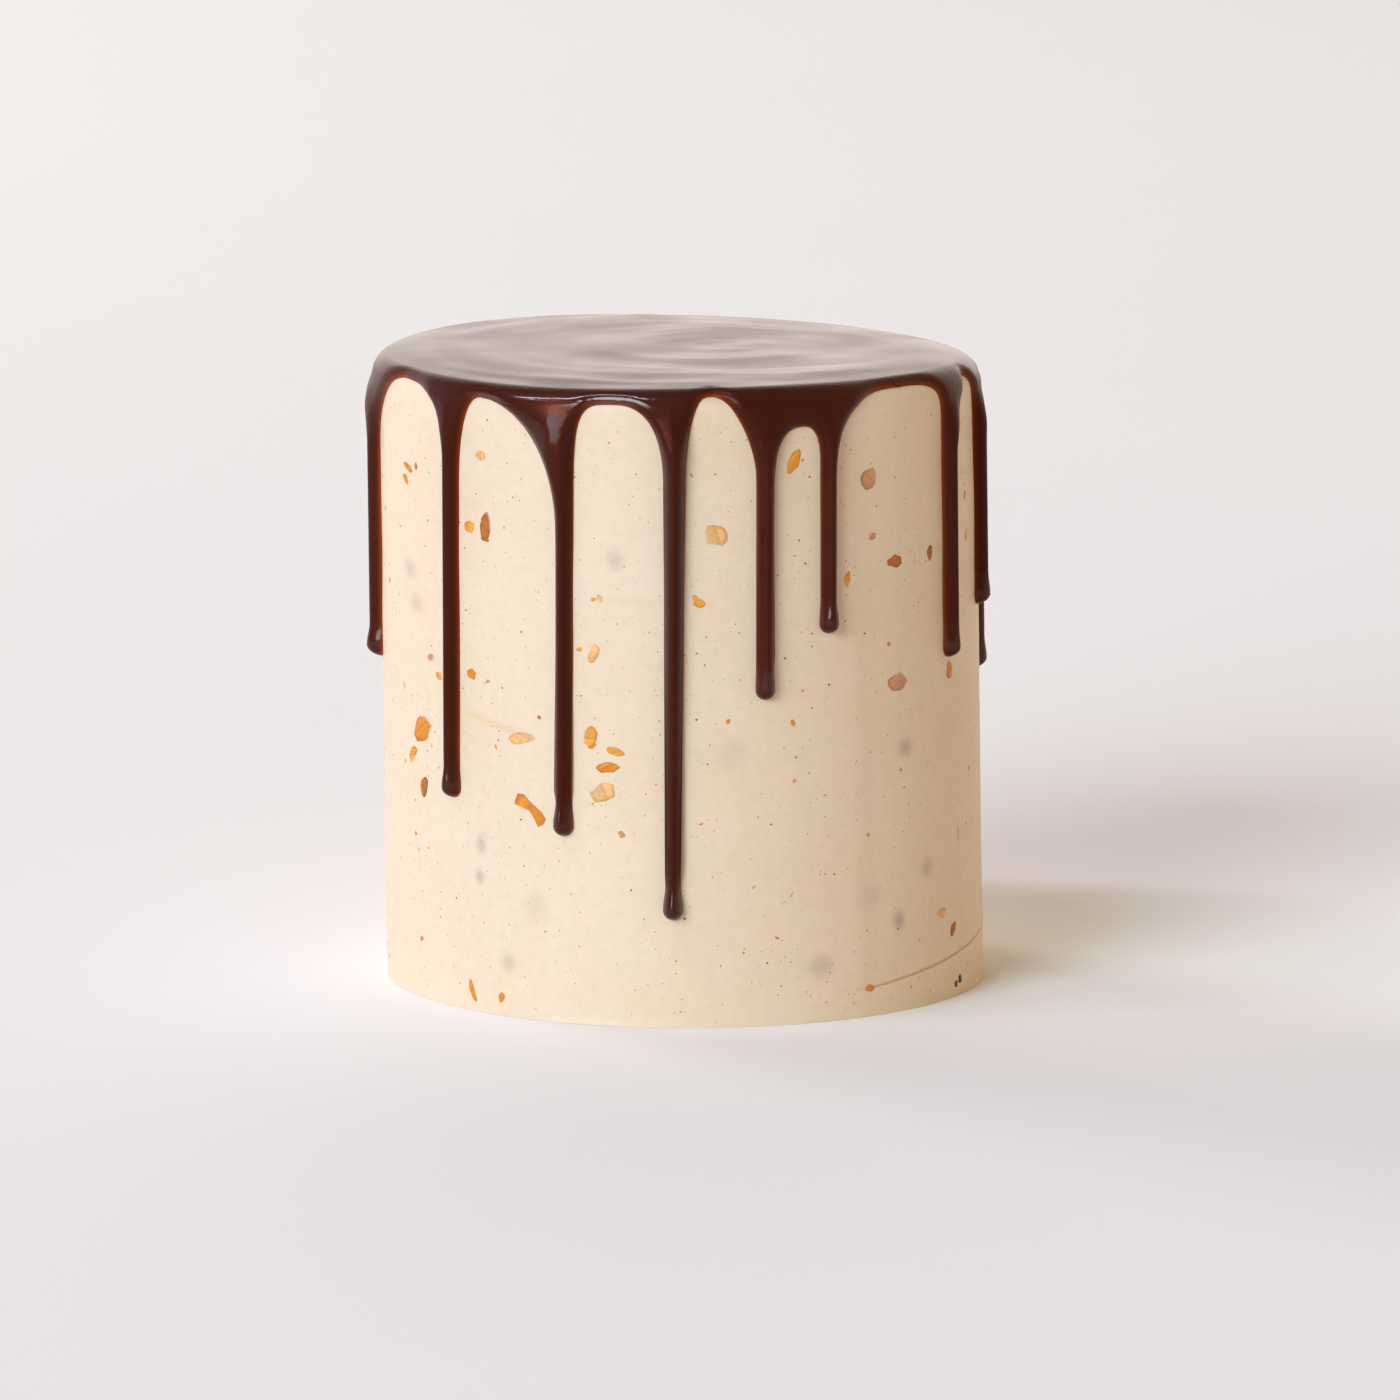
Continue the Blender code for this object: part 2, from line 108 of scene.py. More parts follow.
def sideRadius(angle, z):
    # straight taper from base to top, with a shallow unevenness that fades at the foot
    taper = cake["baseRadius"] + (cake["topRadius"] - cake["baseRadius"]) * z / cake["height"]
    grown = np.sin(math.pi / 2 * np.clip(z / cake["steadyFoot"], 0.0, 1.0))
    return taper + waves(angle, cake["sideWaves"]) * grown


def edgeRadius(angle):
    # radius of the rounded top edge, a little larger on the right
    return cake["edgeRadius"] + cake["edgeSkew"] * np.sin(np.radians(angle))


def rimHeight(angle):
    # height of the top where it meets the rounded edge
    return cake["height"] + waves(angle, cake["rimWaves"])


def sideTop(angle):
    # height where the side ends and the rounded edge begins
    return rimHeight(angle) - edgeRadius(angle)


def pathAtHeight(angle, z):
    # on the side the path is the height itself, round the edge it goes on as arc length
    rise = np.clip((z - sideTop(angle)) / edgeRadius(angle), 0.0, 1.0)
    return np.where(rise > 0, sideTop(angle) + edgeRadius(angle) * np.arcsin(rise), z)


def pathAtRim(angle):
    # path where the quarter circle of the edge ends and the top begins
    return sideTop(angle) + edgeRadius(angle) * math.pi / 2


def cakePoint(angle, path, lift):
    # upright side, quarter round edge and gently saddled top, each raised by lift along its normal
    angle, path, lift = np.broadcast_arrays(angle, path, lift)
    top = sideTop(angle)
    edge = edgeRadius(angle)
    bend = np.clip((path - top) / edge, 0.0, math.pi / 2)
    inward = np.maximum(path - pathAtRim(angle), 0.0)
    reach = sideRadius(angle, top) - edge
    share = 1.0 - inward / reach
    radius = np.where(path < top, sideRadius(angle, path), reach + edge * np.cos(bend) - inward)
    level = cake["height"] + (rimHeight(angle) - cake["height"]) * share**2
    z = np.where(path < top, path, np.where(inward > 0, level, top + edge * np.sin(bend)))
    radius = radius + lift * np.cos(bend)
    z = z + lift * np.sin(bend)
    turn = np.radians(angle)
    return np.stack([cake["lean"] * z + radius * np.sin(turn), -radius * np.cos(turn), z], axis=-1)


def gridFaces(rows, columns, start=0, closed=False, flipped=False):
    # quads of a rows x columns grid numbered row by row, closed joins the last column to the first
    last = columns if closed else columns - 1
    r, c = np.meshgrid(np.arange(rows - 1), np.arange(last), indexing="ij")
    after = (c + 1) % columns
    corners = (r * columns + c, (r + 1) * columns + c, (r + 1) * columns + after, r * columns + after)
    quads = np.stack(corners, -1).reshape(-1, 4) + start
    return quads[:, ::-1] if flipped else quads


def fanFaces(ring, pole, flipped=False):
    # triangles from a ring of point numbers to one pole
    tris = np.stack([ring, np.roll(ring, -1), np.full(len(ring), pole)], -1)
    return tris[:, ::-1] if flipped else tris


def newPiece(name, points, faces, material, attributes=None):
    # a smooth mesh object with one value or one colour per point for each attribute
    mesh = bpy.data.meshes.new(name)
    mesh.from_pydata(points.tolist(), [], [face for block in faces for face in block.tolist()])
    for key, values in (attributes or {}).items():
        if values.ndim == 1:
            mesh.attributes.new(key, "FLOAT", "POINT").data.foreach_set("value", values.astype(np.float32))
        else:
            colors = np.concatenate([values, np.ones((len(values), 1))], axis=1).astype(np.float32)
            mesh.attributes.new(key, "FLOAT_COLOR", "POINT").data.foreach_set("color", colors.ravel())
    mesh.validate()
    mesh.shade_smooth()
    mesh.materials.append(material)
    piece = bpy.data.objects.new(name, mesh)
    bpy.context.scene.collection.objects.link(piece)
    return piece


def mergeClose(piece, distance):
    # welds the shared borders of the sectors
    work = bmesh.new()
    work.from_mesh(piece.data)
    bmesh.ops.remove_doubles(work, verts=work.verts[:], dist=distance)
    bmesh.ops.dissolve_degenerate(work, edges=work.edges[:], dist=distance / 20)
    bmesh.ops.recalc_face_normals(work, faces=work.faces[:])
    work.to_mesh(piece.data)
    work.free()


# Materials


def linear(hexColor):
    # sRGB hex to linear rgb
    srgb = np.array([int(hexColor[k : k + 2], 16) / 255 for k in (1, 3, 5)])
    return np.where(srgb <= 0.04045, srgb / 12.92, ((srgb + 0.055) / 1.055) ** 2.4)


def rgba(hexColor):
    # linear rgb with a full alpha
    return (*linear(hexColor), 1.0)


def addNode(tree, kind, inputs=None, **settings):
    # one node with its settings; an input is a value, or another node's output to link
    node = tree.nodes.new("ShaderNode" + kind)
    for key, value in settings.items():
        setattr(node, key, value)
    for key, value in (inputs or {}).items():
        if isinstance(value, bpy.types.NodeSocket):
            tree.links.new(value, node.inputs[key])
        else:
            node.inputs[key].default_value = value
    return node


def newMaterial(name):
    # an empty node material and its tree
    material = bpy.data.materials.new(name)
    material.use_nodes = True
    material.node_tree.nodes.clear()
    return material, material.node_tree


def remap(tree, value, fromLow, fromHigh, toLow, toHigh, **settings):
    # a straight change of range, held at both ends
    inputs = {"Value": value, 1: fromLow, 2: fromHigh, 3: toLow, 4: toHigh}
    return addNode(tree, "MapRange", inputs, **settings).outputs[0]


def blend(tree, factor, first, second, kind="MIX"):
    # one colour goes over to the other by the factor
    inputs = {"Factor": factor, 6: first, 7: second}
    return addNode(tree, "Mix", inputs, data_type="RGBA", blend_type=kind).outputs[2]


def combine(tree, operation, first, second, **settings):
    # one sum, product or power of two values
    return addNode(tree, "Math", {0: first, 1: second}, operation=operation, **settings).outputs[0]


def noise(tree, place, size, detail=2.0):
    # noise whose features are about size metres across
    return addNode(tree, "TexNoise", {"Vector": place, "Scale": 1 / size, "Detail": detail}).outputs["Fac"]


def field(tree, name, output="Fac"):
    # one of the mesh's own attributes
    return addNode(tree, "Attribute", attribute_name=name).outputs[output]


def bumped(tree, height, depth, below=None, **settings):
    # bump of a height on top of the one below; depth is its strength and its size in metres
    inputs = {"Height": height, "Strength": depth[0], "Distance": depth[1]}
    if below is not None:
        inputs["Normal"] = below
    return addNode(tree, "Bump", inputs, **settings).outputs[0]


buttercream = {
    "warm": "#E8CDAD",
    "pale": "#ECD6BD",
    "buried": "#C2A698",
    "smear": "#E2B77C",
    "creaseShade": 0.55,  # how dark the painted shade in the crease above the foot's ledge is
    "creaseDepth": (1.0, 0.0003),  # of each bump: its strength and its depth in metres
    "fleck": "#B9743C",
    "patchSize": 0.028,  # cloudy change of colour, metres
    "mottleSize": 0.0024,  # fat and sugar not quite evenly mixed
    "mottle": 0.026,
    "fleckSpacing": 0.0026,
    "fleckRadius": 0.000352,  # of the largest flecks
    "fleckless": 0.3,  # share of the places with none
    "fleckStrength": 0.75,
    "grainSize": 0.0009,
    "grainDepth": (0.5, 0.00007),
    "streakHeight": 0.0016,  # marks of the scraper, drawn round the cake
    "streakLength": 0.05,
    "streakDepth": (0.5, 0.00008),
    "roughness": 0.48,
    "subsurface": 0.15,
    "lightReach": 0.0030,  # how far light wanders in the fat, and the share of it in red, green, blue
    "reachShares": (1.0, 0.62, 0.36),
    "index": 1.46,
}


def buttercreamSkin(tree):
    # colour and bump of scraped buttercream, shared by the frosting and the veil over the peanuts
    place = addNode(tree, "TexCoord").outputs["Object"]
    cloud = noise(tree, place, buttercream["patchSize"], 3.0)
    color = blend(tree, cloud, rgba(buttercream["warm"]), rgba(buttercream["pale"]))
    mottle = noise(tree, place, buttercream["mottleSize"], 4.0)
    tint = remap(tree, mottle, 0.3, 0.7, 1 - buttercream["mottle"], 1 + buttercream["mottle"])
    color = blend(tree, 1.0, color, tint, "MULTIPLY")
    color = blend(tree, field(tree, "smear"), color, rgba(buttercream["smear"]))
    color = blend(tree, field(tree, "buried"), color, rgba(buttercream["buried"]))

    # the ledge: a step at its line, and painted shade in the crease from one half width below it to two
    # above
    above, ledge = field(tree, "aboveLedge"), field(tree, "ledge")
    rise = remap(tree, above, -1.0, 0.0, 0.0, 1.0, interpolation_type="SMOOTHSTEP")
    fall = remap(tree, above, 0.2, 2.0, 1.0, 0.0, interpolation_type="SMOOTHSTEP")
    # painted shade: the crease is darkened by multiplying in the smear colour along the ledge
    line = combine(tree, "MULTIPLY", combine(tree, "MULTIPLY", rise, fall), ledge)
    line = combine(tree, "MULTIPLY", line, buttercream["creaseShade"])
    color = blend(tree, line, color, rgba(buttercream["smear"]), "MULTIPLY")

    # flecks: discs of a random size round the centres of a cell pattern
    cells = addNode(tree, "TexVoronoi", {"Vector": place, "Scale": 1 / buttercream["fleckSpacing"]})
    chance = addNode(tree, "SeparateColor", {0: cells.outputs["Color"]}).outputs[0]
    largest = buttercream["fleckRadius"] / buttercream["fleckSpacing"]
    radius = remap(tree, chance, buttercream["fleckless"], 1.0, 0.0, largest)
    inside = remap(tree, cells.outputs["Distance"], 0.0, radius, buttercream["fleckStrength"], 0.0)
    color = blend(tree, inside, color, rgba(buttercream["fleck"]))

    stretch = (1 / buttercream["streakLength"],) * 2 + (1 / buttercream["streakHeight"],)
    drawn = addNode(tree, "Mapping", {"Vector": place, "Scale": stretch}).outputs[0]
    step = bumped(tree, combine(tree, "MULTIPLY", rise, ledge), buttercream["creaseDepth"], invert=True)
    lines = bumped(tree, noise(tree, drawn, 1.0), buttercream["streakDepth"], step)
    grain = noise(tree, place, buttercream["grainSize"])
    return color, bumped(tree, grain, buttercream["grainDepth"], lines)


def creamShader(tree, color, bump, roughness, subsurface):
    # satin fat that light enters a little way, red farthest, so that it looks soft
    shader = addNode(
        tree, "BsdfPrincipled",
        {
            "Base Color": color,
            "Roughness": roughness,
            "IOR": buttercream["index"],
            "Subsurface Weight": subsurface,
            "Subsurface Radius": buttercream["reachShares"],
            "Subsurface Scale": buttercream["lightReach"],
            "Normal": bump,
        },
    )
    addNode(tree, "OutputMaterial", {"Surface": shader.outputs[0]})


def scrapedButtercream():
    # fat and sugar whipped and drawn smooth: pale, softly lit from within, satin, with fine flecks
    material, tree = newMaterial("scraped_buttercream")
    color, bump = buttercreamSkin(tree)
    creamShader(tree, color, bump, buttercream["roughness"], buttercream["subsurface"])
    return material


peanut = {
    "mottleSize": 0.000714,  # cells of the roasted nut
    "mottle": (0.88, 1.10),
    "roughness": 0.50,
    "crumbGrain": 0.0002,
    "crumbDepth": (0.2, 0.00003),
    "crumbRoughness": 0.45,
}


def choppedPeanut():
    # roasted nut cut flush by the scraper: golden cut faces, browner rims, cream smeared over part of it
    material, tree = newMaterial("chopped_peanut")
    color, bump = buttercreamSkin(tree)
    show = field(tree, "show")
    mottle = noise(tree, addNode(tree, "TexCoord").outputs["Object"], peanut["mottleSize"], 3.0)
    shade = remap(tree, mottle, 0.3, 0.7, *peanut["mottle"])
    nut = blend(tree, 1.0, field(tree, "nutColor", "Color"), shade, "MULTIPLY")
    color = blend(tree, show, color, nut)
    rough = remap(tree, show, 0.0, 1.0, buttercream["roughness"], peanut["roughness"])
    soft = remap(tree, show, 0.0, 1.0, buttercream["subsurface"], 0.0)
    creamShader(tree, color, bump, rough, soft)
    return material


def peanutSpeck():
    # crumbs of nut and skin, too small to show a cut face
    material, tree = newMaterial("peanut_crumb")
    grain = noise(tree, addNode(tree, "TexCoord").outputs["Object"], peanut["crumbGrain"])
    bump = bumped(tree, grain, peanut["crumbDepth"])
    creamShader(tree, field(tree, "nutColor", "Color"), bump, peanut["crumbRoughness"], 0.0)
    return material


ganache = {
    "dark": "#39160D",
    "brown": "#441B12",
    "thin": "#A8440F",  # where the film runs out the cream shines through, orange brown
    "cloudSize": 0.02,
    "grainSize": 0.00035,  # drawn coarser than the cocoa's own grain, so that it shows
    "grainDepth": (0.22, 0.00003),  # of each bump: its strength and its depth in metres
    "hammerSize": 0.0011,
    "hammerDepth": (0.6, 0.00009),
    "coatDepth": (0.3, 0.00006),
    "topHammer": 0.15,  # how much of the drips' hammering the top has
    "roughness": 0.38,
    "patchy": 0.03,  # by how much the roughness wanders
    "index": 1.46,
    "specularTint": "#AC6450",
    "coatRoughness": 0.10,
}


def setGanache():
    # chocolate and cream poured warm and set cold: near black brown with a warm satin sheen, redder
    # where it runs thin, glossy where it set last, faintly hammered on the drips, smoother on the top
    material, tree = newMaterial("set_chocolate_ganache")
    place = addNode(tree, "TexCoord").outputs["Object"]
    cloud = noise(tree, place, ganache["cloudSize"], 3.0)
    color = blend(tree, cloud, rgba(ganache["dark"]), rgba(ganache["brown"]))
    color = blend(tree, field(tree, "thin"), color, rgba(ganache["thin"]))
    low, high = ganache["roughness"] - ganache["patchy"], ganache["roughness"] + ganache["patchy"]
    fine = bumped(tree, noise(tree, place, ganache["grainSize"]), ganache["grainDepth"])
    hammering = remap(tree, field(tree, "top"), 0.0, 1.0, 1.0, ganache["topHammer"])
    hammer = combine(tree, "MULTIPLY", noise(tree, place, ganache["hammerSize"], 0.0), hammering)
    shader = addNode(
        tree, "BsdfPrincipled",
        {
            "Base Color": color,
            "Roughness": remap(tree, cloud, 0.3, 0.7, low, high),
            "IOR": ganache["index"],
            "Specular Tint": rgba(ganache["specularTint"]),
            "Coat Weight": field(tree, "gloss"),
            "Coat Roughness": ganache["coatRoughness"],
            "Normal": bumped(tree, hammer, ganache["hammerDepth"], fine),
            "Coat Normal": bumped(tree, hammer, ganache["coatDepth"], fine),
        },
    )
    addNode(tree, "OutputMaterial", {"Surface": shader.outputs[0]})
    return material


# The drips' outlines


glaze = {
    "film": 0.00185,
    "filmWander": 0.10,  # share by which the film's thickness wanders
    "filmWave": 0.05,  # length of that wander
    "filmReach": 0.040,  # how far in from the rim it is gone
    "lipRadius": 0.0026,
    "lipPower": 0.80,  # 0.5 ends the glaze in an upright wall, 1 in a slope
    "bulbPower": 0.52,
    "bulbBlend": 0.005,  # length over which a stem's edge goes over to its bulb's
    "stemThickness": 0.0031,
    "bulbLength": 0.0085,
    "ridgeFalloff": 0.0040,
    "ridgeStart": 0.0100,
    "rowBend": 0.0020,
    "thinDepth": 0.00060,  # glaze thinner than this lets the cream through
    "thinOnLitFlank": 0.70,  # how much of that a left flank shows, against 1 on a right one: painted light, since the left flanks face the light
    "sag": 0.0010,  # how far the pour sinks towards the rim
    "sagWidth": 0.0220,
    "sagPower": 2.5,
    "cushion": 0.0009,  # how far the pools between the arches belly out
    "cushionWidth": 0.0070,
    "cushionTop": (0.002, 0.006),  # its upper end above the side's top, and the length of its fade
    # places: angle, path, half width, half height, strength
    "thinSpot": (-23.2, 0.1518, 0.0032, 0.0013, 0.36),
    "glossPool": (-28.0, 0.1475, 0.0095, 0.0055, 0.34),
    # the front of the rim set last and stayed glossy: from and to angle, from and to length below it
    "glossBand": (-46.0, 50.0, 0.0012, 0.0050),
    "glossFade": (8.0, 10.0, 0.0010, 0.0012),  # how softly the band ends at each of those
    "glossRight": (4.0, 0.10),  # the angle where it dies away and what is left of it beyond
    "glossBulb": 0.45,
    "bulbFade": (0.003, 0.0012, 0.002),  # upper fade, lower end and lower fade of the gloss on a bulb
    "sunk": 0.00012,  # the free edge lies this far under the buttercream's skin
    "leastHalf": 0.0005,  # least half width that a sector's rows are rounded for
    "weld": 0.000004,
    "flankCrowd": 2.2,  # power that crowds the flanks' rows towards the arches
    "columns": 24,
    "innerColumns": 6,
    "topRings": 44,
    "edgeRows": 9,
    "neckRows": 5,
    "flankRows": 30,
    "stemRows": 26,
    "bulbRows": 9,
    "tipRows": 8,
}

# Each drip: angle, height of its tip, half width at its top and at its foot, half width of its bulb
drips = (
    (-88.0, 0.0800, 0.00230, 0.00220, 0.00270),
    (-48.4, 0.0525, 0.00230, 0.00225, 0.00260),
    (-21.8, 0.0465, 0.00240, 0.00215, 0.00255),
    (-0.5, 0.0269, 0.00290, 0.00180, 0.00245),
    (16.8, 0.0809, 0.00235, 0.00225, 0.00240),
    (29.6, 0.0963, 0.00220, 0.00205, 0.00240),
    (62.7, 0.0855, 0.00230, 0.00225, 0.00245),
    (81.6, 0.0949, 0.00230, 0.00225, 0.00255),
    (101.0, 0.0746, 0.00220, 0.00210, 0.00245),
    (122.0, 0.0630, 0.00235, 0.00210, 0.00255),
    (143.5, 0.1010, 0.00215, 0.00210, 0.00240),
    (164.0, 0.0410, 0.00250, 0.00195, 0.00250),
    (187.0, 0.0725, 0.00230, 0.00220, 0.00245),
    (208.0, 0.0900, 0.00220, 0.00210, 0.00240),
    (233.0, 0.0560, 0.00240, 0.00205, 0.00260),
    (254.0, 0.1010, 0.00220, 0.00215, 0.00245),
)

# The bare arch after each drip: angle of its top, its depth below the rim, then for its left and
# its right flank the height and the exponent of a superellipse
arches = (
    (-66.5, 0.0008, 0.022, 1.55, 0.022, 2.80),
    (-40.8, 0.0021, 0.022, 2.20, 0.031, 2.05),
    (-12.0, 0.0020, 0.024, 4.00, 0.020, 2.45),
    (6.7, 0.0003, 0.022, 2.30, 0.020, 1.55),
    (24.4, 0.0082, 0.015, 2.60, 0.009, 2.40),
    (47.0, 0.0008, 0.022, 2.60, 0.013, 3.60),
    (74.5, 0.0013, 0.018, 1.55, 0.016, 2.20),
    (91.0, 0.0031, 0.018, 2.00, 0.018, 2.00),
    (111.0, 0.0012, 0.020, 2.60, 0.017, 2.20),
    (132.5, 0.0018, 0.022, 2.20, 0.016, 2.80),
    (153.0, 0.0010, 0.015, 2.00, 0.024, 2.30),
    (176.0, 0.0016, 0.021, 3.00, 0.019, 2.00),
    (197.5, 0.0040, 0.018, 1.90, 0.020, 2.60),
    (220.5, 0.0012, 0.022, 2.80, 0.025, 2.10),
    (243.0, 0.0022, 0.017, 2.00, 0.014, 2.20),
    (263.5, 0.0070, 0.012, 2.00, 0.014, 1.80),
)


def dripAngle(drip, path):
    # a drip hangs plumb, so on the leaning cake's side it wanders by the lean times the drop
    angle = drips[drip][0]
    wander = -cake["lean"] * (path - cake["height"]) * math.cos(math.radians(angle)) / cake["topRadius"]
    return angle + np.degrees(wander)


def dripHalfWidth(drip, path):
    # straight taper down the stem, half a cosine wave out to the bulb's width and a half circle
    _, tip, topHalf, footHalf, bulbHalf = drips[drip]
    above = path - tip
    stem = footHalf + (topHalf - footHalf) * np.clip(above / (cake["height"] - tip), 0.0, 1.0)
    swell = np.clip((above - bulbHalf) / (glaze["bulbLength"] - bulbHalf), 0.0, 1.0)
    bulb = bulbHalf + (stem - bulbHalf) * (1 - np.cos(math.pi * swell)) / 2
    end = np.sqrt(np.clip(bulbHalf**2 - (bulbHalf - np.clip(above, 0.0, bulbHalf)) ** 2, 0.0, None))
    return np.where(above < bulbHalf, end, bulb)


def archOf(index):
    # angle and path of the top of a bare arch
    angle, below = arches[index][:2]
    return angle, float(pathAtHeight(angle, rimHeight(angle) - below))


def flankRows(drip, side, counts):
    # a free edge from the arch's top to the drip's tip: superellipse, plumb stem, bulb, round end
    flankCount, stemCount, bulbCount, tipCount = counts
    index = drip if side > 0 else drip - 1
    archAngle, archPath = archOf(index)
    archAngle -= 360.0 if index < 0 else 0.0
    height, exponent = arches[index][2:4] if side > 0 else arches[index][4:6]
    tip, bulbHalf = drips[drip][1], drips[drip][4]
    foot = min(archOf(drip)[1] - arches[drip][2], archOf(drip - 1)[1] - arches[drip - 1][4])
    flank = archPath - (archPath - foot) * (np.arange(1, flankCount + 1) / flankCount) ** glaze["flankCrowd"]
    stem = np.linspace(foot, tip + glaze["bulbLength"], stemCount + 1)[1:]
    bulb = tip + np.linspace(glaze["bulbLength"], bulbHalf, bulbCount + 1)[1:]
    end = tip + bulbHalf * (1 - np.sin(math.pi / 2 * np.arange(1, tipCount + 1) / tipCount))
    path = np.concatenate([[archPath], flank, stem, bulb, end])
    drop = np.clip((archPath - path) / height, 0.0, 1.0)
    out = (1 - (1 - drop) ** exponent) ** (1 / exponent)
    stemAngle = dripAngle(drip, path) + side * np.degrees(dripHalfWidth(drip, path) / cake["topRadius"])
    return archAngle + (stemAngle - archAngle) * out, path


def freeEdge(drip, counts, finer):
    # both free edges of a drip as points (angle, path)
    points = []
    for side in (-1, 1):
        angle, path = flankRows(drip, side, counts)
        steps = np.arange(len(path))
        at = np.linspace(0, len(path) - 1, finer * len(path))
        points.append(np.stack([np.interp(at, steps, angle), np.interp(at, steps, path)], axis=1))
    return np.concatenate(points)


fineCounts = (glaze["flankRows"], glaze["stemRows"], glaze["bulbRows"], glaze["tipRows"])
coarseCounts = (7, 2, 3, 3)  # as in the solids, so that the seeded pieces fall at the same places
coarseEdges = [freeEdge(drip, coarseCounts, 6) for drip in range(len(drips))]
fineEdges = [freeEdge(drip, fineCounts, 3) for drip in range(len(drips))]


# Ganache


swirl = {
    "center": (0.0120, 0.0010),  # the spatula's turning point, a little right of the middle
    "squash": 1.20,
    # each set of rings: spacing, height, twist, phase
    "rings": (
        (0.0240, 0.00009, 1, 0.6),
        (0.0150, 0.00003, -1, 2.1),
        (0.0360, 0.00014, 1, 3.6),
        (0.0088, 0.000024, 2, 4.4),
    ),
    "sharpness": 0.5,  # narrows the crests and widens the troughs
    "breakSpacing": 0.04,  # how fast the gaps in the rings turn on outwards
    "stillRadius": 0.008,  # the middle without rings
    "rimFade": 0.006,  # length over which the relief starts inside the rim
    "humpSpacing": 0.075,
    "humpHeight": 0.00016,
}


def swirlRelief(x, y):
    # slow plane waves plus cosine rings round an off-centre point, each broken up round the turn
    offX = x - swirl["center"][0]
    offY = (y - swirl["center"][1]) * swirl["squash"]
    rho = np.hypot(offX, offY)
    turn = np.arctan2(offY, offX)
    hump = ripple(x / swirl["humpSpacing"], y / swirl["humpSpacing"], 14, 7, 0.4, 2)
    relief = swirl["humpHeight"] * hump
    for k, (spacing, height, twist, phase) in enumerate(swirl["rings"]):
        breaks = 0.5 + 0.5 * np.cos(turn * (k % 2 + 1) + phase * 1.7 + rho / swirl["breakSpacing"])
        wave = 2 * math.pi * rho / spacing + twist * turn + phase
        crest = np.cos(wave + swirl["sharpness"] * np.sin(wave))
        relief += height * breaks * smooth(rho / swirl["stillRadius"]) * crest
    return relief


def glazeThickness(drip, angle, path, half):
    # film, bellied out between the arches and thickened to a ridge along each drip, times
    # (1 - (1 - distance to the free edge / lip)^2)^power, which rounds it down to nothing there
    outside = smooth((pathAtRim(angle) + glaze["filmReach"] - path) / glaze["filmReach"])
    wander = outside * ripple(angle / 360.0, path / glaze["filmWave"], 11, 6, 0.3, 5)
    film = glaze["film"] * (1 + glaze["filmWander"] * wander)
    thickness = film.copy()
    nearest = np.full(angle.shape, 1.0)
    for neighbour in (drip - 1, drip, drip + 1):
        turn = 360.0 * (neighbour // len(drips))
        other = neighbour % len(drips)
        _, tip, _, footHalf, bulbHalf = drips[other]
        halfWidth = dripHalfWidth(other, path)
        off = np.abs(sideLength(angle - turn - dripAngle(other, path)))
        ridge = np.exp(-((np.maximum(off - halfWidth, 0.0) / glaze["ridgeFalloff"]) ** 2))
        fade = smooth((sideTop(angle) - path) / glaze["ridgeStart"])
        swell = np.maximum(halfWidth, bulbHalf * (path < tip + bulbHalf))
        peak = glaze["stemThickness"] * np.maximum(swell / footHalf, 1.0)
        thickness += (peak - film) * ridge * fade
        edge = fineEdges[other]
        across = sideLength(angle[..., None] - turn - edge[:, 0])
        nearest = np.minimum(nearest, np.hypot(across, path[..., None] - edge[:, 1]).min(axis=-1))
    upper, soft = glaze["cushionTop"]
    belly = smooth((sideTop(angle) + upper - path) / soft) * smooth(nearest / glaze["cushionWidth"])
    thickness = thickness + glaze["cushion"] * belly
    bulb = smooth((drips[drip][1] + glaze["bulbLength"] - path) / glaze["bulbBlend"])
    power = glaze["lipPower"] + (glaze["bulbPower"] - glaze["lipPower"]) * bulb
    lip = np.minimum(glaze["lipRadius"], half)
    return thickness * (1 - (1 - np.clip(nearest / lip, 0.0, 1.0)) ** 2) ** power


def acrossRow(left, right, across):
    # a row stays at the level of its higher side and bends down to the lower one
    power = 1 + np.abs(left - right) / glaze["rowBend"]
    fromLeft = left - (left - right) * across**power
    fromRight = right - (right - left) * (1 - across) ** power
    return np.where(left > right, fromLeft, fromRight)


def glazeGrid(drip, across):
    # angles and paths of one sector and the count of rows before its flanks: the top by even shares,
    # the rounded edge by arc length, the rest down to the arches, then the free edges' own rows
    leftAngle, leftPath = flankRows(drip, -1, fineCounts)
    rightAngle, rightPath = flankRows(drip, 1, fineCounts)
    headAngle = leftAngle[0] + (rightAngle[0] - leftAngle[0]) * across
    headPath = acrossRow(leftPath[0], rightPath[0], across)
    rim = pathAtRim(headAngle)
    reach = sideRadius(headAngle, sideTop(headAngle)) - edgeRadius(headAngle)
    share = np.arange(glaze["topRings"])[:, None] / glaze["topRings"]
    arc = edgeRadius(headAngle) * math.pi / 2
    k = np.arange(glaze["edgeRows"])[:, None]
    down = np.minimum((rim - headPath) * k / glaze["edgeRows"], arc * k / (glaze["edgeRows"] - 1))
    neck = np.arange(1, glaze["neckRows"] + 1)[:, None] / (glaze["neckRows"] + 1)
    down = np.concatenate([down, down[-1:] + (rim - headPath - down[-1:]) * neck])
    head = len(share) + len(down)
    flankAngle = leftAngle[:, None] + (rightAngle - leftAngle)[:, None] * across
    flankPath = acrossRow(leftPath[:, None], rightPath[:, None], across)
    angle = np.concatenate([np.broadcast_to(headAngle, (head, len(across))), flankAngle])
    path = np.concatenate([rim + reach * (1 - share), rim - down, flankPath])
    return angle, path, head


def thinAt(angle, path, thickness, across):
    # how far the cream shows through: exp(-(thickness / thinDepth)^1.5), less on a sector's left half, which
    # faces the light (painted light), and at least as much as the one thin spot
    shown = glaze["thinOnLitFlank"] + (1 - glaze["thinOnLitFlank"]) * smooth((across - 0.3) / 0.4)
    edges = shown * np.exp(-((thickness / glaze["thinDepth"]) ** 1.5))
    return np.maximum(edges, softSpot(angle, path, glaze["thinSpot"]))


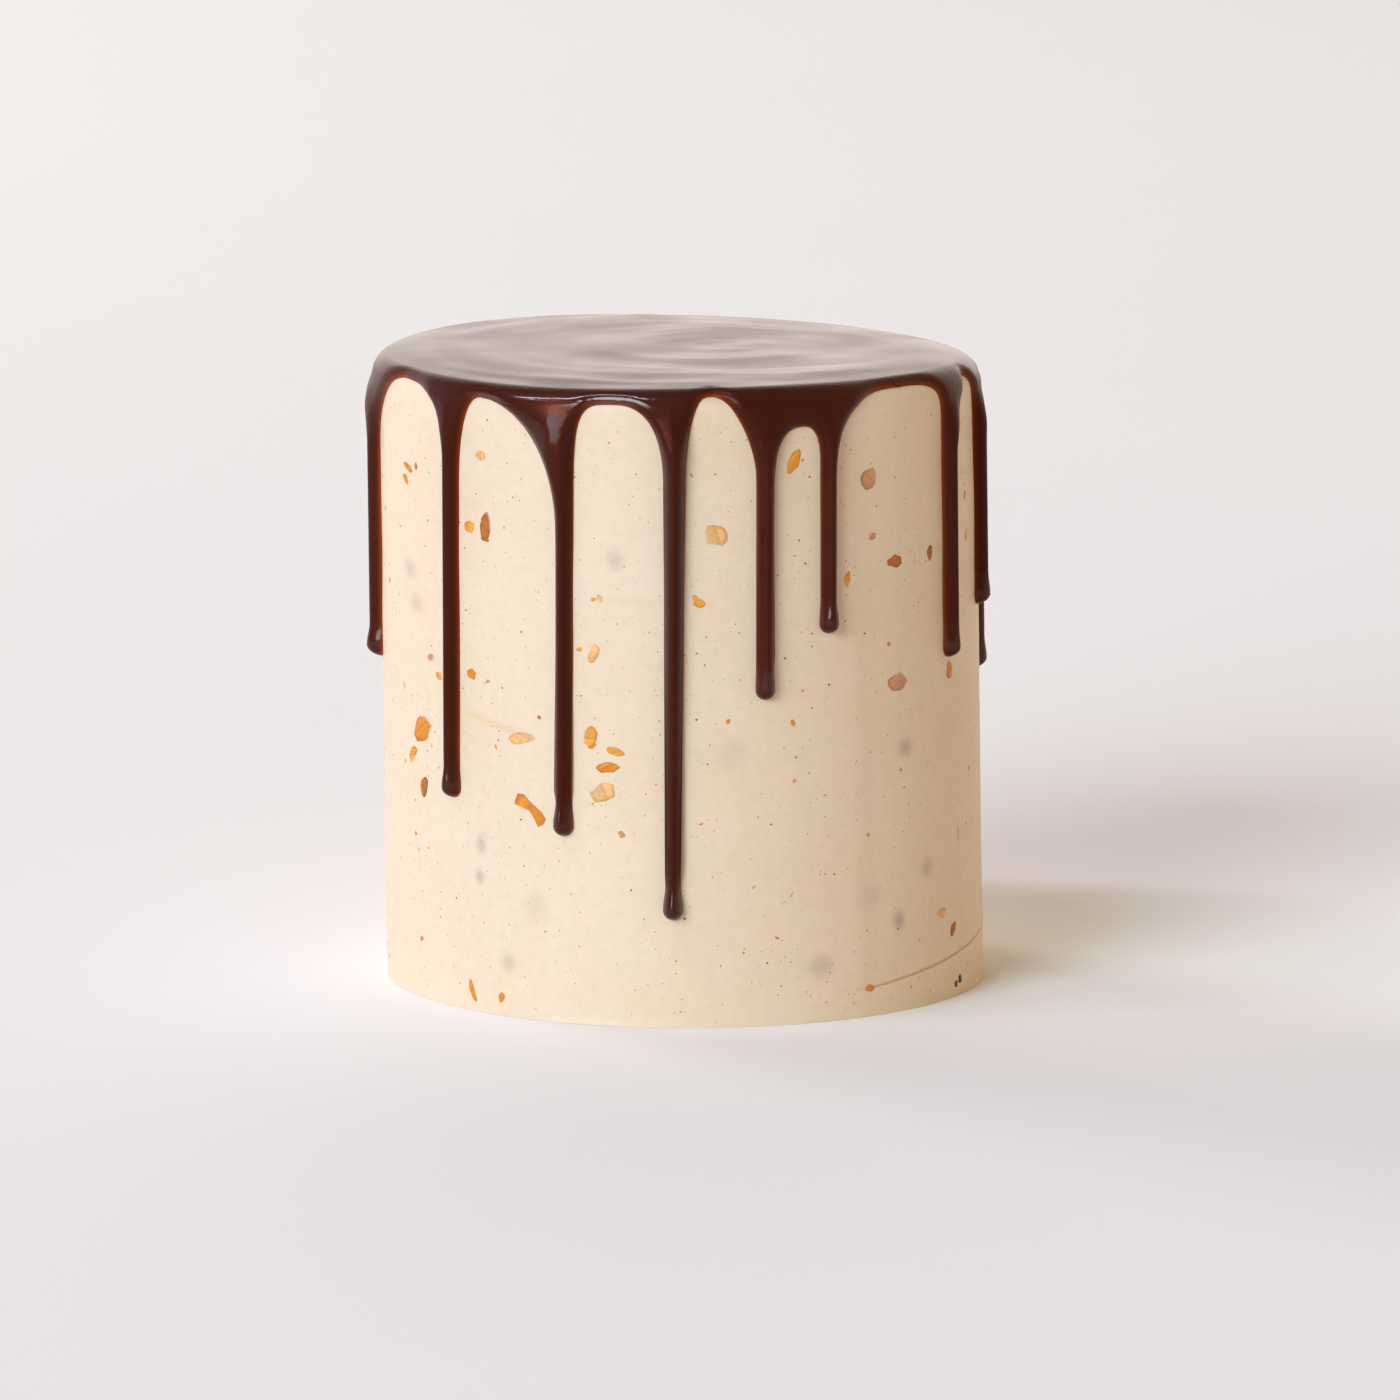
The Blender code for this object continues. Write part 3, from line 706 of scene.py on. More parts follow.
def glossAt(drip, angle, path):
    # largest of the band along the front of the rim, the one pool and the drip's bulb
    left, right, upper, lower = glaze["glossBand"]
    softLeft, softRight, softUpper, softLower = glaze["glossFade"]
    bend, rest = glaze["glossRight"]
    below = pathAtRim(angle) - path
    band = smooth((angle - left) / softLeft) * smooth((right - angle) / softRight)
    band = band * (rest + (1 - rest) * smooth((bend - angle) / softRight))
    band = band * smooth((below - upper) / softUpper) * smooth((lower - below) / softLower)
    softTop, foot, softFoot = glaze["bulbFade"]
    above = path - drips[drip][1]
    bulb = smooth((glaze["bulbLength"] - above) / softTop) * smooth((above - foot) / softFoot)
    pool = softSpot(angle, path, glaze["glossPool"])
    return np.maximum(np.maximum(band, pool), glaze["glossBulb"] * bulb)


def makeGanache(material):
    # each sector as an outer skin, lifted off the cake by its thickness, and a back on the cake; they
    # share their borders and are welded to one closed sheet
    points, faces = [], []
    fields = {"thin": [], "top": [], "gloss": []}
    start = 0
    outerAcross = (np.sin(np.linspace(-math.pi / 2, math.pi / 2, glaze["columns"] + 1)) + 1) / 2
    innerAcross = np.linspace(0.0, 1.0, glaze["innerColumns"] + 1)
    for drip in range(len(drips)):
        tip, bulbHalf = drips[drip][1], drips[drip][4]
        for across, outer in ((outerAcross, True), (innerAcross, False)):
            angle, path, head = glazeGrid(drip, across)
            thickness = np.zeros(angle.shape)
            if outer:
                half = np.maximum(sideLength(angle[:, -1:] - angle[:, :1]) / 2, glaze["leastHalf"])
                half = np.where(path < tip + bulbHalf, bulbHalf, half)
                thickness = glazeThickness(drip, angle, path, half)
                thickness[head:, [0, -1]] = 0.0
                thickness[-1] = 0.0
            place = cakePoint(angle, path, thickness - glaze["sunk"])
            inward = path - pathAtRim(angle)
            top = smooth(inward / swirl["rimFade"])
            if outer:
                sunk = (1 - np.clip(inward / glaze["sagWidth"], 0.0, 1.0)) ** glaze["sagPower"]
                place[..., 2] += top * swirlRelief(place[..., 0], place[..., 1]) + glaze["sag"] * (1 - sunk)
            points.append(place.reshape(-1, 3))
            faces.append(gridFaces(*angle.shape, start=start, flipped=not outer))
            fields["thin"].append(thinAt(angle, path, thickness, across).ravel())
            fields["top"].append(top.ravel())
            fields["gloss"].append(glossAt(drip, angle, path).ravel())
            start += angle.size
    fields = {key: np.concatenate(blocks) for key, blocks in fields.items()}
    piece = newPiece("ganache_pour", np.concatenate(points), faces, material, fields)
    mergeClose(piece, glaze["weld"])
    return piece


# Buttercream


marks = {
    "span": 0.15,  # height over which the waves are counted
    "waveHeight": 0.00008,
    "lineHeight": 0.0000108,
    "ledgeWidth": 0.0004,
    "ledgeStart": (34.0, 0.0066),  # angle and height where the scraper's last ledge begins
    "ledgeEnd": (96.0, 0.0150),
    "ledgeFade": (6.0, 14.0),  # degrees over which it comes and goes
    "footSpread": 0.00022,  # how far the foot is pressed out, and by how much that wanders
    "footWander": 0.00014,
    "footHeight": 0.0009,
    "stainSeed": 19,
    "stainCount": 46,
    "stainAngles": (80.0, 280.0),
    "stainHeights": (0.006, 0.145),
    "stainWidths": (0.0018, 0.0050),
}

# Pieces that show only as a soft stain: angle, height, width, tallness, strength
stains = (
    (-42.0, 0.0419, 0.0024, 0.0034, 0.75), (-42.4, 0.0338, 0.0022, 0.0028, 0.85),
    (-35.5, 0.0135, 0.0034, 0.0040, 0.55), (26.7, 0.0141, 0.0054, 0.0044, 0.60),
    (45.2, 0.0227, 0.0030, 0.0036, 1.00), (47.5, 0.0655, 0.0040, 0.0034, 0.80),
    (53.8, 0.0344, 0.0040, 0.0040, 0.60), (-12.2, 0.1152, 0.0034, 0.0040, 0.50),
    (-63.9, 0.1068, 0.0050, 0.0036, 0.55), (-61.4, 0.0985, 0.0050, 0.0036, 0.50),
    (66.1, 0.0404, 0.0008, 0.0040, 0.90), (9.5, 0.0680, 0.0060, 0.0060, 0.25),
    (38.0, 0.0300, 0.0060, 0.0050, 0.25), (-29.0, 0.0280, 0.0050, 0.0060, 0.25),
)

# Nut paste drawn along by the scraper: angle and height of both ends, half width, strength
smears = (
    (-47.0, 0.0744, -33.0, 0.0708, 0.0009, 0.62),
    (-16.0, 0.1052, -3.0, 0.1056, 0.0006, 0.30),
    (-47.5, 0.0680, -40.0, 0.0672, 0.0005, 0.15),
    (150.0, 0.0850, 163.0, 0.0835, 0.0008, 0.35),
    (221.0, 0.0480, 232.0, 0.0492, 0.0007, 0.30),
)


def sideRelief(angle, z):
    # slow waves, level scraper lines and a foot pressed outwards as exp(-(z / footHeight)^2)
    turn = angle / 360.0
    climb = z / marks["span"]
    waving = marks["waveHeight"] * ripple(turn, climb, 3, 10, 0.5, 9)
    lines = marks["lineHeight"] * ripple(turn, climb, 5, 14, 14, 60)
    spread = marks["footSpread"] + marks["footWander"] * ripple(turn, climb, 8, 12, 0.2, 40)
    return waving + lines + spread * np.exp(-((z / marks["footHeight"]) ** 2))


def ledgeAt(angle, z):
    # height above the ledge's slanting line in its own half widths, and how strongly it shows there
    (a0, z0), (a1, z1) = marks["ledgeStart"], marks["ledgeEnd"]
    line = z0 + (z1 - z0) * (angle - a0) / (a1 - a0)
    above = np.clip((z - line) / marks["ledgeWidth"], -20.0, 20.0)
    comes, goes = marks["ledgeFade"]
    shown = smooth((angle - a0) / comes) * smooth((a1 - angle) / goes)
    return above, np.broadcast_to(shown, above.shape)


def allStains():
    # those in the photo's view, and seeded ones round the rest
    draw = random.Random(marks["stainSeed"])
    rows = list(stains)
    for _ in range(marks["stainCount"]):
        width = draw.uniform(*marks["stainWidths"])
        angle = draw.uniform(*marks["stainAngles"])
        height = draw.uniform(*marks["stainHeights"])
        tall = width * draw.uniform(0.7, 1.4)
        rows.append((angle, height, width, tall, draw.uniform(0.3, 0.9)))
    return rows


def buriedAt(angle, z):
    # largest of strength * exp(-(d^2 / 1.5)^1.2) over the stains, with d in a stain's own half sizes
    total = np.zeros(np.broadcast(angle, z).shape)
    for middle, level, wide, tall, strength in allStains():
        x = sideLength(apart(angle, middle)) / (wide / 2)
        y = (z - level) / (tall / 2)
        total = np.maximum(total, strength * np.exp(-(((x * x + y * y) / 1.5) ** 1.2)))
    return total


def smearAt(angle, z):
    # largest of soft lines exp(-d^2) between two ends, each wider and paler towards its first end
    total = np.zeros(np.broadcast(angle, z).shape)
    for a0, z0, a1, z1, width, strength in smears:
        along = apart(angle, a0) / (a1 - a0)
        part = np.clip(along, 0.0, 1.0)
        off = (z - z0 - (z1 - z0) * along) / (width * (1.3 - 0.6 * part))
        reach = smooth(along / 0.25 + 0.3) * smooth((1.05 - along) / 0.12)
        total = np.maximum(total, strength * (0.35 + 0.65 * part) * reach * np.exp(-off * off))
    return total


def makeButtercream(material):
    # rings of points round the cake by shares of the side's height, of the rounded edge and of the
    # top, each raised by the side's relief, with one ring on the underside and two poles
    columns = cake["columns"]
    angle = np.arange(columns)[None, :] / columns * 360.0
    top = sideTop(angle)
    reach = sideRadius(angle, top) - edgeRadius(angle)
    sideShare = np.concatenate([
        cake["footShare"] * np.linspace(0, 1, cake["footRows"], endpoint=False),
        np.linspace(cake["footShare"], 1.0, cake["sideRows"]),
    ])[:, None]
    edgeShare = np.arange(1, cake["edgeRows"] + 1)[:, None] / cake["edgeRows"]
    topShare = np.arange(1, cake["topRows"])[:, None] / cake["topRows"]
    path = np.concatenate([
        top * sideShare,
        top + edgeRadius(angle) * math.pi / 2 * edgeShare,
        pathAtRim(angle) + reach * topShare,
    ])
    fade = smooth((pathAtRim(angle) - path) / cake["reliefFade"])
    rings = cakePoint(angle, path, sideRelief(angle, path) * fade)
    rings[0, :, 2] = 0.0
    under = rings[0] * np.array([0.5, 0.5, 0.0])
    poles = np.array([[0.0, 0.0, 0.0], [cake["lean"] * cake["height"], 0.0, cake["height"]]])
    points = np.concatenate([under, rings.reshape(-1, 3), poles])
    rows = len(path)
    faces = [
        gridFaces(rows + 1, columns, closed=True, flipped=True),
        fanFaces(np.arange(columns), len(points) - 2, flipped=True),
        fanFaces(np.arange(columns) + rows * columns, len(points) - 1),
    ]
    above, shown = ledgeAt(angle, path)
    fields = {
        "buried": buriedAt(angle, path), "smear": smearAt(angle, path), "aboveLedge": above, "ledge": shown,
    }
    for key, values in fields.items():
        fields[key] = np.concatenate([np.zeros(columns), values.ravel(), np.zeros(2)])
    return newPiece("scraped_frosting", points, faces, material, fields)


# Peanuts


# Each kind: how narrow its middle is, how flat its upper side is, bend and roughness of its outline
nutKinds = {
    "chunk": (0.00, 0.10, 0.00, 0.24),
    "sliver": (0.00, 0.15, 0.15, 0.16),
    "boat": (0.00, 0.62, 0.10, 0.14),
    "pinched": (0.78, 0.00, 0.10, 0.14),
}

# Each tone: cut face and rim
nutTones = {
    "orange": ("#E48A16", "#B8560E"),
    "gold": ("#EFA030", "#CE7018"),
    "pale": ("#EEB678", "#DA8C32"),
    "brown": ("#BE6A1A", "#78360E"),
    "pink": ("#D2966A", "#AC683C"),
    "skin": ("#54342C", "#34201C"),
}

nuts = {
    "spread": 1.18,  # a cut face shows wider than the solid's pad
    "relief": 0.00022,  # how proud a piece stands, and the groove round it
    "groove": 0.00004,
    "sunk": 0.00003,  # how far the cream's skirt dips under the frosting
    "fullLength": 0.004,  # shorter pieces stand less proud
    "skirt": 0.5,  # how wide the cream's skirt is for each unit of ring, as a share of the length
    "stepWidth": 0.12,
    "corners": 11,
    "sectors": 33,
    "rings": (0.22, 0.42, 0.60, 0.75, 0.86, 0.94, 0.99, 1.03, 1.08, 1.16, 1.30),
    "backCount": 34,
    "backAngles": (97.0, 263.0),
    "backHeights": (0.006, 0.142),
    "backLengths": (0.0024, 0.0060),  # the shortest, and how much longer the longest are
    "backKinds": ("chunk", "chunk", "sliver", "boat", "pinched"),
    "backTones": ("orange", "gold", "pale", "brown", "pink", "orange", "pale"),
    "clearance": 0.0016,
    "seed": 7,
    "crumbSeed": 23,
    "crumbCount": 150,
    "crumbAngles": (70.0, 290.0),
    "crumbHeights": (0.003, 0.148),
    "crumbLengths": (0.0007, 0.0013),
    "crumbTones": ("orange", "gold", "pale", "brown", "pink"),
    "veil": "#D8C2B8",  # cream a hair's breadth thick over a dark nut
}

# Pieces in the photo's view: kind, angle, height, length, breadth, turn, tone, how far cream covers it
frontNuts = (
    ("sliver", -64.5, 0.1318, 0.0050, 0.0016, -20, "orange", 0.05),
    ("sliver", -65.7, 0.1288, 0.0032, 0.0018, -35, "orange", 0.10),
    ("chunk", -40.9, 0.1383, 0.0030, 0.0025, 0, "pale", 0.35),
    ("chunk", -44.0, 0.1204, 0.0030, 0.0030, 0, "gold", 0.15),
    ("boat", -40.4, 0.1212, 0.0066, 0.0044, 80, "brown", 0.30),
    ("chunk", -59.6, 0.0679, 0.0084, 0.0064, 20, "orange", 0.25),
    ("sliver", -63.8, 0.0606, 0.0046, 0.0030, 50, "gold", 0.15),
    ("sliver", -59.3, 0.0529, 0.0050, 0.0032, 75, "brown", 0.20),
    ("boat", -32.1, 0.0701, 0.0076, 0.0036, 8, "pale", 0.25),
    ("pinched", -30.1, 0.0523, 0.0098, 0.0074, -38, "orange", 0.05),
    ("chunk", -17.5, 0.0714, 0.0052, 0.0034, 85, "gold", 0.35),
    ("boat", -12.6, 0.0684, 0.0044, 0.0028, -15, "gold", 0.20),
    ("boat", -14.2, 0.0645, 0.0056, 0.0036, 6, "orange", 0.10),
    ("chunk", -15.1, 0.0578, 0.0058, 0.0048, 20, "pale", 0.15),
    ("boat", -17.0, 0.0921, 0.0050, 0.0034, 70, "pale", 0.25),
    ("chunk", 3.6, 0.1052, 0.0030, 0.0022, -30, "gold", 0.35),
    ("boat", 22.0, 0.1394, 0.0060, 0.0038, 65, "gold", 0.10),
    ("chunk", 7.0, 0.1216, 0.0054, 0.0048, -25, "pale", 0.30),
    ("sliver", 33.4, 0.1089, 0.0038, 0.0018, 80, "gold", 0.25),
    ("chunk", 38.7, 0.1333, 0.0054, 0.0044, 70, "pink", 0.30),
    ("chunk", 45.4, 0.1121, 0.0044, 0.0031, 5, "brown", 0.10),
    ("sliver", 56.0, 0.1124, 0.0038, 0.0024, 80, "brown", 0.30),
    ("sliver", 72.0, 0.1242, 0.0024, 0.0018, 60, "gold", 0.25),
    ("sliver", 72.3, 0.1141, 0.0032, 0.0018, 85, "gold", 0.25),
    ("chunk", 39.5, 0.1192, 0.0024, 0.0021, 0, "pink", 0.45),
    ("chunk", -56.3, 0.0860, 0.0024, 0.0020, 0, "pink", 0.40),
    ("chunk", -53.6, 0.0819, 0.0024, 0.0020, 0, "gold", 0.30),
    ("chunk", -44.0, 0.0839, 0.0032, 0.0024, -30, "orange", 0.20),
    ("chunk", 45.5, 0.0822, 0.0062, 0.0048, 20, "pink", 0.40),
    ("chunk", 62.9, 0.0821, 0.0044, 0.0036, 80, "orange", 0.15),
    ("chunk", 58.8, 0.0218, 0.0042, 0.0032, 10, "pale", 0.35),
    ("sliver", 63.2, 0.0171, 0.0036, 0.0026, 60, "brown", 0.15),
    ("sliver", -44.6, 0.0052, 0.0054, 0.0017, 112, "orange", 0.10),
    ("chunk", -37.2, 0.0045, 0.0024, 0.0019, 80, "orange", 0.10),
    ("chunk", 37.6, 0.0071, 0.0025, 0.0018, -10, "orange", 0.05),
)

# Crumbs in the photo's view, up to 2.4 mm long: angle, height, length, tone
frontCrumbs = (
    (-61.2, 0.1327, 0.0016, "brown"), (-39.6, 0.1176, 0.0012, "brown"), (-67.4, 0.0580, 0.0012, "gold"),
    (-28.0, 0.0753, 0.0011, "brown"), (-38.0, 0.0667, 0.0012, "gold"), (-62.8, 0.0407, 0.0014, "orange"),
    (-61.6, 0.0369, 0.0009, "orange"), (-17.2, 0.0694, 0.0022, "orange"), (-11.5, 0.0477, 0.0018, "pink"),
    (-16.5, 0.1054, 0.0013, "gold"), (-15.2, 0.1057, 0.0018, "pale"), (-19.4, 0.0929, 0.0014, "gold"),
    (2.9, 0.1064, 0.0016, "gold"), (24.1, 0.1393, 0.0009, "orange"), (-67.5, 0.0768, 0.0018, "pale"),
    (-39.8, 0.0827, 0.0012, "pink"), (43.2, 0.0919, 0.0013, "orange"), (8.8, 0.0757, 0.0014, "orange"),
    (21.5, 0.0748, 0.0016, "orange"), (21.6, 0.0605, 0.0011, "gold"), (46.2, 0.0602, 0.0010, "orange"),
    (37.6, 0.0452, 0.0011, "pink"), (17.8, 0.0218, 0.0011, "orange"), (-60.8, 0.0147, 0.0017, "orange"),
    (66.0, 0.0038, 0.0024, "skin"), (64.2, 0.0030, 0.0019, "skin"),
)


def clearOfGlaze(angle, height, reach):
    # true where a piece of this reach keeps off every drip and arch edge
    for (center, tip, *_), edge in zip(drips, coarseEdges):
        away = np.hypot(sideLength(apart(angle, edge[:, 0])), height - edge[:, 1]).min()
        behind = height > tip and sideLength(abs(apart(angle, center))) < reach
        if away < reach or behind:
            return False
    return True


def backNuts():
    # seeded as in the solids: kinds and sizes of the front ones, clear of the glaze and each other
    draw = random.Random(nuts["seed"])
    paint = random.Random(nuts["seed"] + 1)
    shortest, more = nuts["backLengths"]
    placed = []
    while len(placed) < nuts["backCount"]:
        angle = draw.uniform(*nuts["backAngles"])
        height = draw.uniform(*nuts["backHeights"])
        kind = draw.choice(nuts["backKinds"])
        length = shortest + more * draw.random() ** 2
        breadth = length * draw.uniform(0.45, 0.85)
        turn = draw.uniform(-90.0, 90.0)
        reach = length / 2 + nuts["clearance"]
        free = [
            math.hypot(sideLength(angle - other[1]), height - other[2]) > reach + other[3] / 2
            for other in placed
        ]
        if all(free) and clearOfGlaze(angle, height, reach):
            placed.append((kind, angle, height, length, breadth, turn))
    return [row + (paint.choice(nuts["backTones"]), paint.uniform(0.05, 0.4)) for row in placed]


def crumbRows():
    # the table's crumbs with a random turn, then seeded ones round the rest, clear of the glaze
    draw = random.Random(nuts["crumbSeed"])
    rows = []
    for angle, height, length, tone in frontCrumbs:
        breadth = length * draw.uniform(0.6, 0.9)
        turn = draw.uniform(-90, 90)
        rows.append(("chunk", angle, height, length, breadth, turn, tone, draw.uniform(0.05, 0.3)))
    shortest, more = nuts["crumbLengths"]
    while len(rows) < len(frontCrumbs) + nuts["crumbCount"]:
        angle = draw.uniform(*nuts["crumbAngles"])
        height = draw.uniform(*nuts["crumbHeights"])
        length = shortest + more * draw.random() ** 2
        kind = draw.choice(("chunk", "sliver"))
        breadth = length * draw.uniform(0.5, 0.9)
        turn = draw.uniform(-90, 90)
        tone = draw.choice(nuts["crumbTones"])
        veil = draw.uniform(0.05, 0.45)
        if clearOfGlaze(angle, height, length):
            rows.append((kind, angle, height, length, breadth, turn, tone, veil))
    return rows


def nutOutline(kind, length, breadth, turn, draw):
    # ellipse with a waist, a flattened side and a bend, cut to straight facets between uneven corners
    narrow, flat, bend, rough = nutKinds[kind]
    count = nuts["corners"]
    shift = np.array([draw.uniform(-0.33, 0.33) for _ in range(count)])
    way = (np.arange(count) + shift) * 2 * math.pi / count
    size = nuts["spread"] * (1 + np.array([draw.uniform(-rough, rough * 0.6) for _ in range(count)]))
    along = size * np.cos(way)
    waist = 1 - narrow * np.sin(way) ** 2
    side = np.sin(way) * waist * np.where(np.sin(way) > 0, 1 - flat, 1.0)
    over = size * side * breadth / 2 + bend * breadth * (0.5 - along**2)
    along = along * length / 2
    spin = math.radians(turn)
    x = along * math.cos(spin) - over * math.sin(spin)
    z = along * math.sin(spin) + over * math.cos(spin)
    at = np.arange(nuts["sectors"]) / nuts["sectors"] * count
    return [np.interp(at, np.arange(count + 1), np.append(line, line[0])) for line in (x, z)]


def nutRelief(ring, step, scale):
    # a face that stands proud, lower on one side of its broken step, a groove round it as
    # exp(-((ring - 1) / 0.05)^2) and a skirt that dips under the frosting
    face = (1 - smooth((ring - 0.6) / 0.45)) * (0.55 + 0.45 * step)
    groove = np.exp(-(((ring - 1.0) / 0.05) ** 2))
    dip = smooth((ring - 1.05) / 0.2)
    return scale * (nuts["relief"] * face - nuts["groove"] * groove) - nuts["sunk"] * dip


def nutLook(ring, way, plane, step, tone, veil):
    # colour: the face's tone, going to the rim's outwards, with painted shade as a dark line near the step
    # and on the step's lower side; show: 1 on the nut and 0 on the cream, which runs over it from way 0 by a
    # share of 0.5 + 1.1 * cos(way)
    covered = np.clip(veil * (0.5 + 1.1 * np.cos(way)), 0.0, 1.0)
    edge = 1.04 - 0.55 * covered  # the ring where the nut ends, further in under the cream
    width = 0.12 + 0.45 * covered  # how softly it ends there
    rimToneAndShade = smooth((ring - 0.60) / 0.4) * (0.6 + 0.4 * np.cos(way - 2.5))
    # painted shade: a dark line in the rim's colour across the face near the step, the crevice between its
    # facets
    rimToneAndShade = np.maximum(rimToneAndShade, 0.5 * np.exp(-(((plane - 0.1) / 0.10) ** 2)))[:, None]
    face, rim = (linear(color) for color in nutTones[tone])
    # painted shade: the face is darker on the lower side of its step
    color = (face * (1 - rimToneAndShade) + rim * rimToneAndShade) * (0.90 + 0.16 * step[:, None])
    halo = smooth((ring - edge + 0.1) / (width + 0.05)) * np.clip(covered * 2.2, 0.0, 1.0)
    color = color * (1 - halo[:, None]) + linear(nuts["veil"]) * halo[:, None]
    film = 0.45 * np.clip(covered * 2.0, 0.0, 1.0) * (1 - smooth((ring - 0.9) / 0.36))
    show = np.maximum(1 - smooth((ring - edge) / width), film)
    show[ring == nuts["rings"][-1]] = 0.0
    return color, show


def nutPatch(row, draw, start):
    # polar grid over one flush piece, from its middle out by shares of its outline, then an even
    # width of cream round it
    kind, angle, height, length, breadth, turn, tone, veil = row
    x, z = nutOutline(kind, length, breadth, turn, draw)
    rings, sectors = len(nuts["rings"]), nuts["sectors"]
    middleX, middleZ = x.mean(), z.mean()
    offX, offZ = x - middleX, z - middleZ
    away = np.hypot(offX, offZ)
    rho = np.array(nuts["rings"])[:, None]
    out = np.minimum(rho, 1) * (1 + np.maximum(rho - 1, 0.0) * nuts["skirt"] * length / away)
    px = np.append((middleX + offX * out).ravel(), middleX)
    pz = np.append((middleZ + offZ * out).ravel(), middleZ)
    ring = np.append(np.repeat(nuts["rings"], sectors), 0.0)
    facing = draw.uniform(0, 2 * math.pi)  # the side that the cream runs over
    way = np.append(np.tile(np.arctan2(offZ, offX), rings), 0.0) - facing
    cut = draw.uniform(0, 2 * math.pi)
    plane = ((px - middleX) * math.cos(cut) + (pz - middleZ) * math.sin(cut)) / (length / 2)
    step = smooth((plane - draw.uniform(-0.3, 0.3)) / nuts["stepWidth"] + 0.5)
    lift = nutRelief(ring, step, min(1.0, length / nuts["fullLength"]))
    color, show = nutLook(ring, way, plane, step, tone, veil)
    turned, level = angle + np.degrees(px / cake["topRadius"]), height + pz
    points = cakePoint(turned, level, sideRelief(turned, level) + lift)
    faces = [
        gridFaces(rings, sectors, start=start, closed=True),
        fanFaces(np.arange(sectors) + start, start + rings * sectors),
    ]
    return points, faces, color, show, buriedAt(turned, level), smearAt(turned, level)


def makePeanuts(material):
    # one patch for each row, in one mesh
    draw = random.Random(nuts["seed"])
    points, faces = [], []
    fields = {"nutColor": [], "show": [], "buried": [], "smear": []}
    start = 0
    for row in list(frontNuts) + backNuts() + crumbRows():
        place, parts, *values = nutPatch(row, draw, start)
        points.append(place)
        faces += parts
        for blocks, value in zip(fields.values(), values):
            blocks.append(value)
        start += len(place)
    fields = {key: np.concatenate(blocks) for key, blocks in fields.items()}
    return newPiece("peanut_pieces", np.concatenate(points), faces, material, fields)


specks = {
    "count": 2200,
    "seed": 31,
    "radius": (0.00017, 0.00040),
    "heights": (0.002, 0.1480),
    "relief": 0.00005,
    "sunk": 0.00001,  # how far the rim of a speck lies in the cream
    "colors": ("#CC5A1C", "#DC8430", "#A8441A", "#E49A40", "#8E3A1A", "#C8601E", "#D8935A"),
}


def makeSpecks(material):
    # flat six-sided double cones, half sunk, long and round ones drawn from one seed, mostly small
    draw = np.random.default_rng(specks["seed"])
    count = specks["count"]
    angle = draw.uniform(0.0, 360.0, count)
    height = draw.uniform(*specks["heights"], count)
    low, high = specks["radius"]
    radius = (low + (high - low) * draw.random(count) ** 3)[:, None]
    spin = draw.uniform(0, math.pi, count)[:, None]
    stretch = draw.uniform(0.6, 1.0, count)[:, None]
    around = np.arange(6) * math.pi / 3
    px, pz = radius * np.cos(around), radius * np.sin(around) * stretch
    x = px * np.cos(spin) - pz * np.sin(spin)
    z = px * np.sin(spin) + pz * np.cos(spin)
    base = sideRelief(angle, height)
    turned = angle[:, None] + np.degrees(x / cake["topRadius"])
    ring = cakePoint(turned, height[:, None] + z, base[:, None] - specks["sunk"])
    crown = cakePoint(angle, height, base + specks["relief"])
    keel = cakePoint(angle, height, base - specks["relief"])
    points = np.concatenate([ring, crown[:, None], keel[:, None]], axis=1)
    first = (np.arange(count) * 8)[:, None]
    k = np.arange(6)[None, :]
    after = (k + 1) % 6
    up = np.stack([first + k, first + after, np.broadcast_to(first + 6, (count, 6))], -1)
    down = np.stack([first + after, first + k, np.broadcast_to(first + 7, (count, 6))], -1)
    palette = np.array([linear(color) for color in specks["colors"]])
    color = np.repeat(palette[draw.integers(0, len(palette), count)], 8, axis=0)
    faces = [up.reshape(-1, 3), down.reshape(-1, 3)]
    piece = newPiece("peanut_specks", points.reshape(-1, 3), faces, material, {"nutColor": color})
    piece.data.shade_flat()
    return piece


# Studio


studio = {
    "distance": 2.822,  # camera in front of the cake
    "cameraHeight": 0.5516,
    "pitch": 9.7136,  # degrees down
    "yaw": 0.0704,
    "roll": 0.2,
    "focalPixels": 11469.0,  # of the 1400 pixel wide picture
    "pictureWidth": 1400.0,
    "sensor": 36.0,
    "floor": "#FAF9F8",
    "floorSize": 40.0,
    "floorPatch": 1 / 3,  # length over which the floor's shade wanders
}

# Suns: colour, strength, direction towards the light, its width in degrees
suns = {
    "key": ("#E3F5FF", 2.65, (-0.55, -0.83, 0.38), 34.0),
    "fill": ("#EDD4FF", 0.32, (-0.84, 0.52, 0.16), 40.0),
}

# Panels aimed at the cake: colour, strength, place, size, turn in degrees, whether surfaces mirror them
panels = {
    "backLeft": ("#FDFFF5", 66.0, (-3.0, 2.8, 1.6), (1.6, 1.4), 0.0, False),
    "strip": ("#F3E4FF", 66.0, (-2.22, -1.20, 4.30), (3.15, 0.28), 45.0, True),  # the streak on the rim
}

# The room's light from each side: axis, sign, colour, strength, power that narrows it
sky = {
    "left": (0, -1, "#FFFFFF", 0.01, 1.5),
    "right": (0, 1, "#FFDC93", 0.92, 2.0),
    "front": (1, -1, "#FFFFFF", 0.01, 2.0),
    "back": (1, 1, "#FFF5ED", 3.32, 6.0),
    "up": (2, 1, "#FFF3F3", 0.10, 2.0),
}


def lit(hexColor, strength):
    # linear colour of a light times its strength
    return tuple(channel * strength for channel in linear(hexColor))


def makeFloor():
    # pale matt ground, a shade darker in soft patches
    material, tree = newMaterial("pale_floor")
    cloud = noise(tree, addNode(tree, "TexCoord").outputs["Object"], studio["floorPatch"])
    tint = remap(tree, cloud, 0.0, 1.0, 0.98, 1.0)
    color = blend(tree, 1.0, rgba(studio["floor"]), tint, "MULTIPLY")
    shader = addNode(tree, "BsdfPrincipled", {"Base Color": color, "Roughness": 0.9})
    addNode(tree, "OutputMaterial", {"Surface": shader.outputs[0]})
    half = studio["floorSize"] / 2
    corners = np.array([[-half, -half, 0.0], [half, -half, 0.0], [half, half, 0.0], [-half, half, 0.0]])
    newPiece("floor", corners, [np.array([[0, 1, 2, 3]])], material)


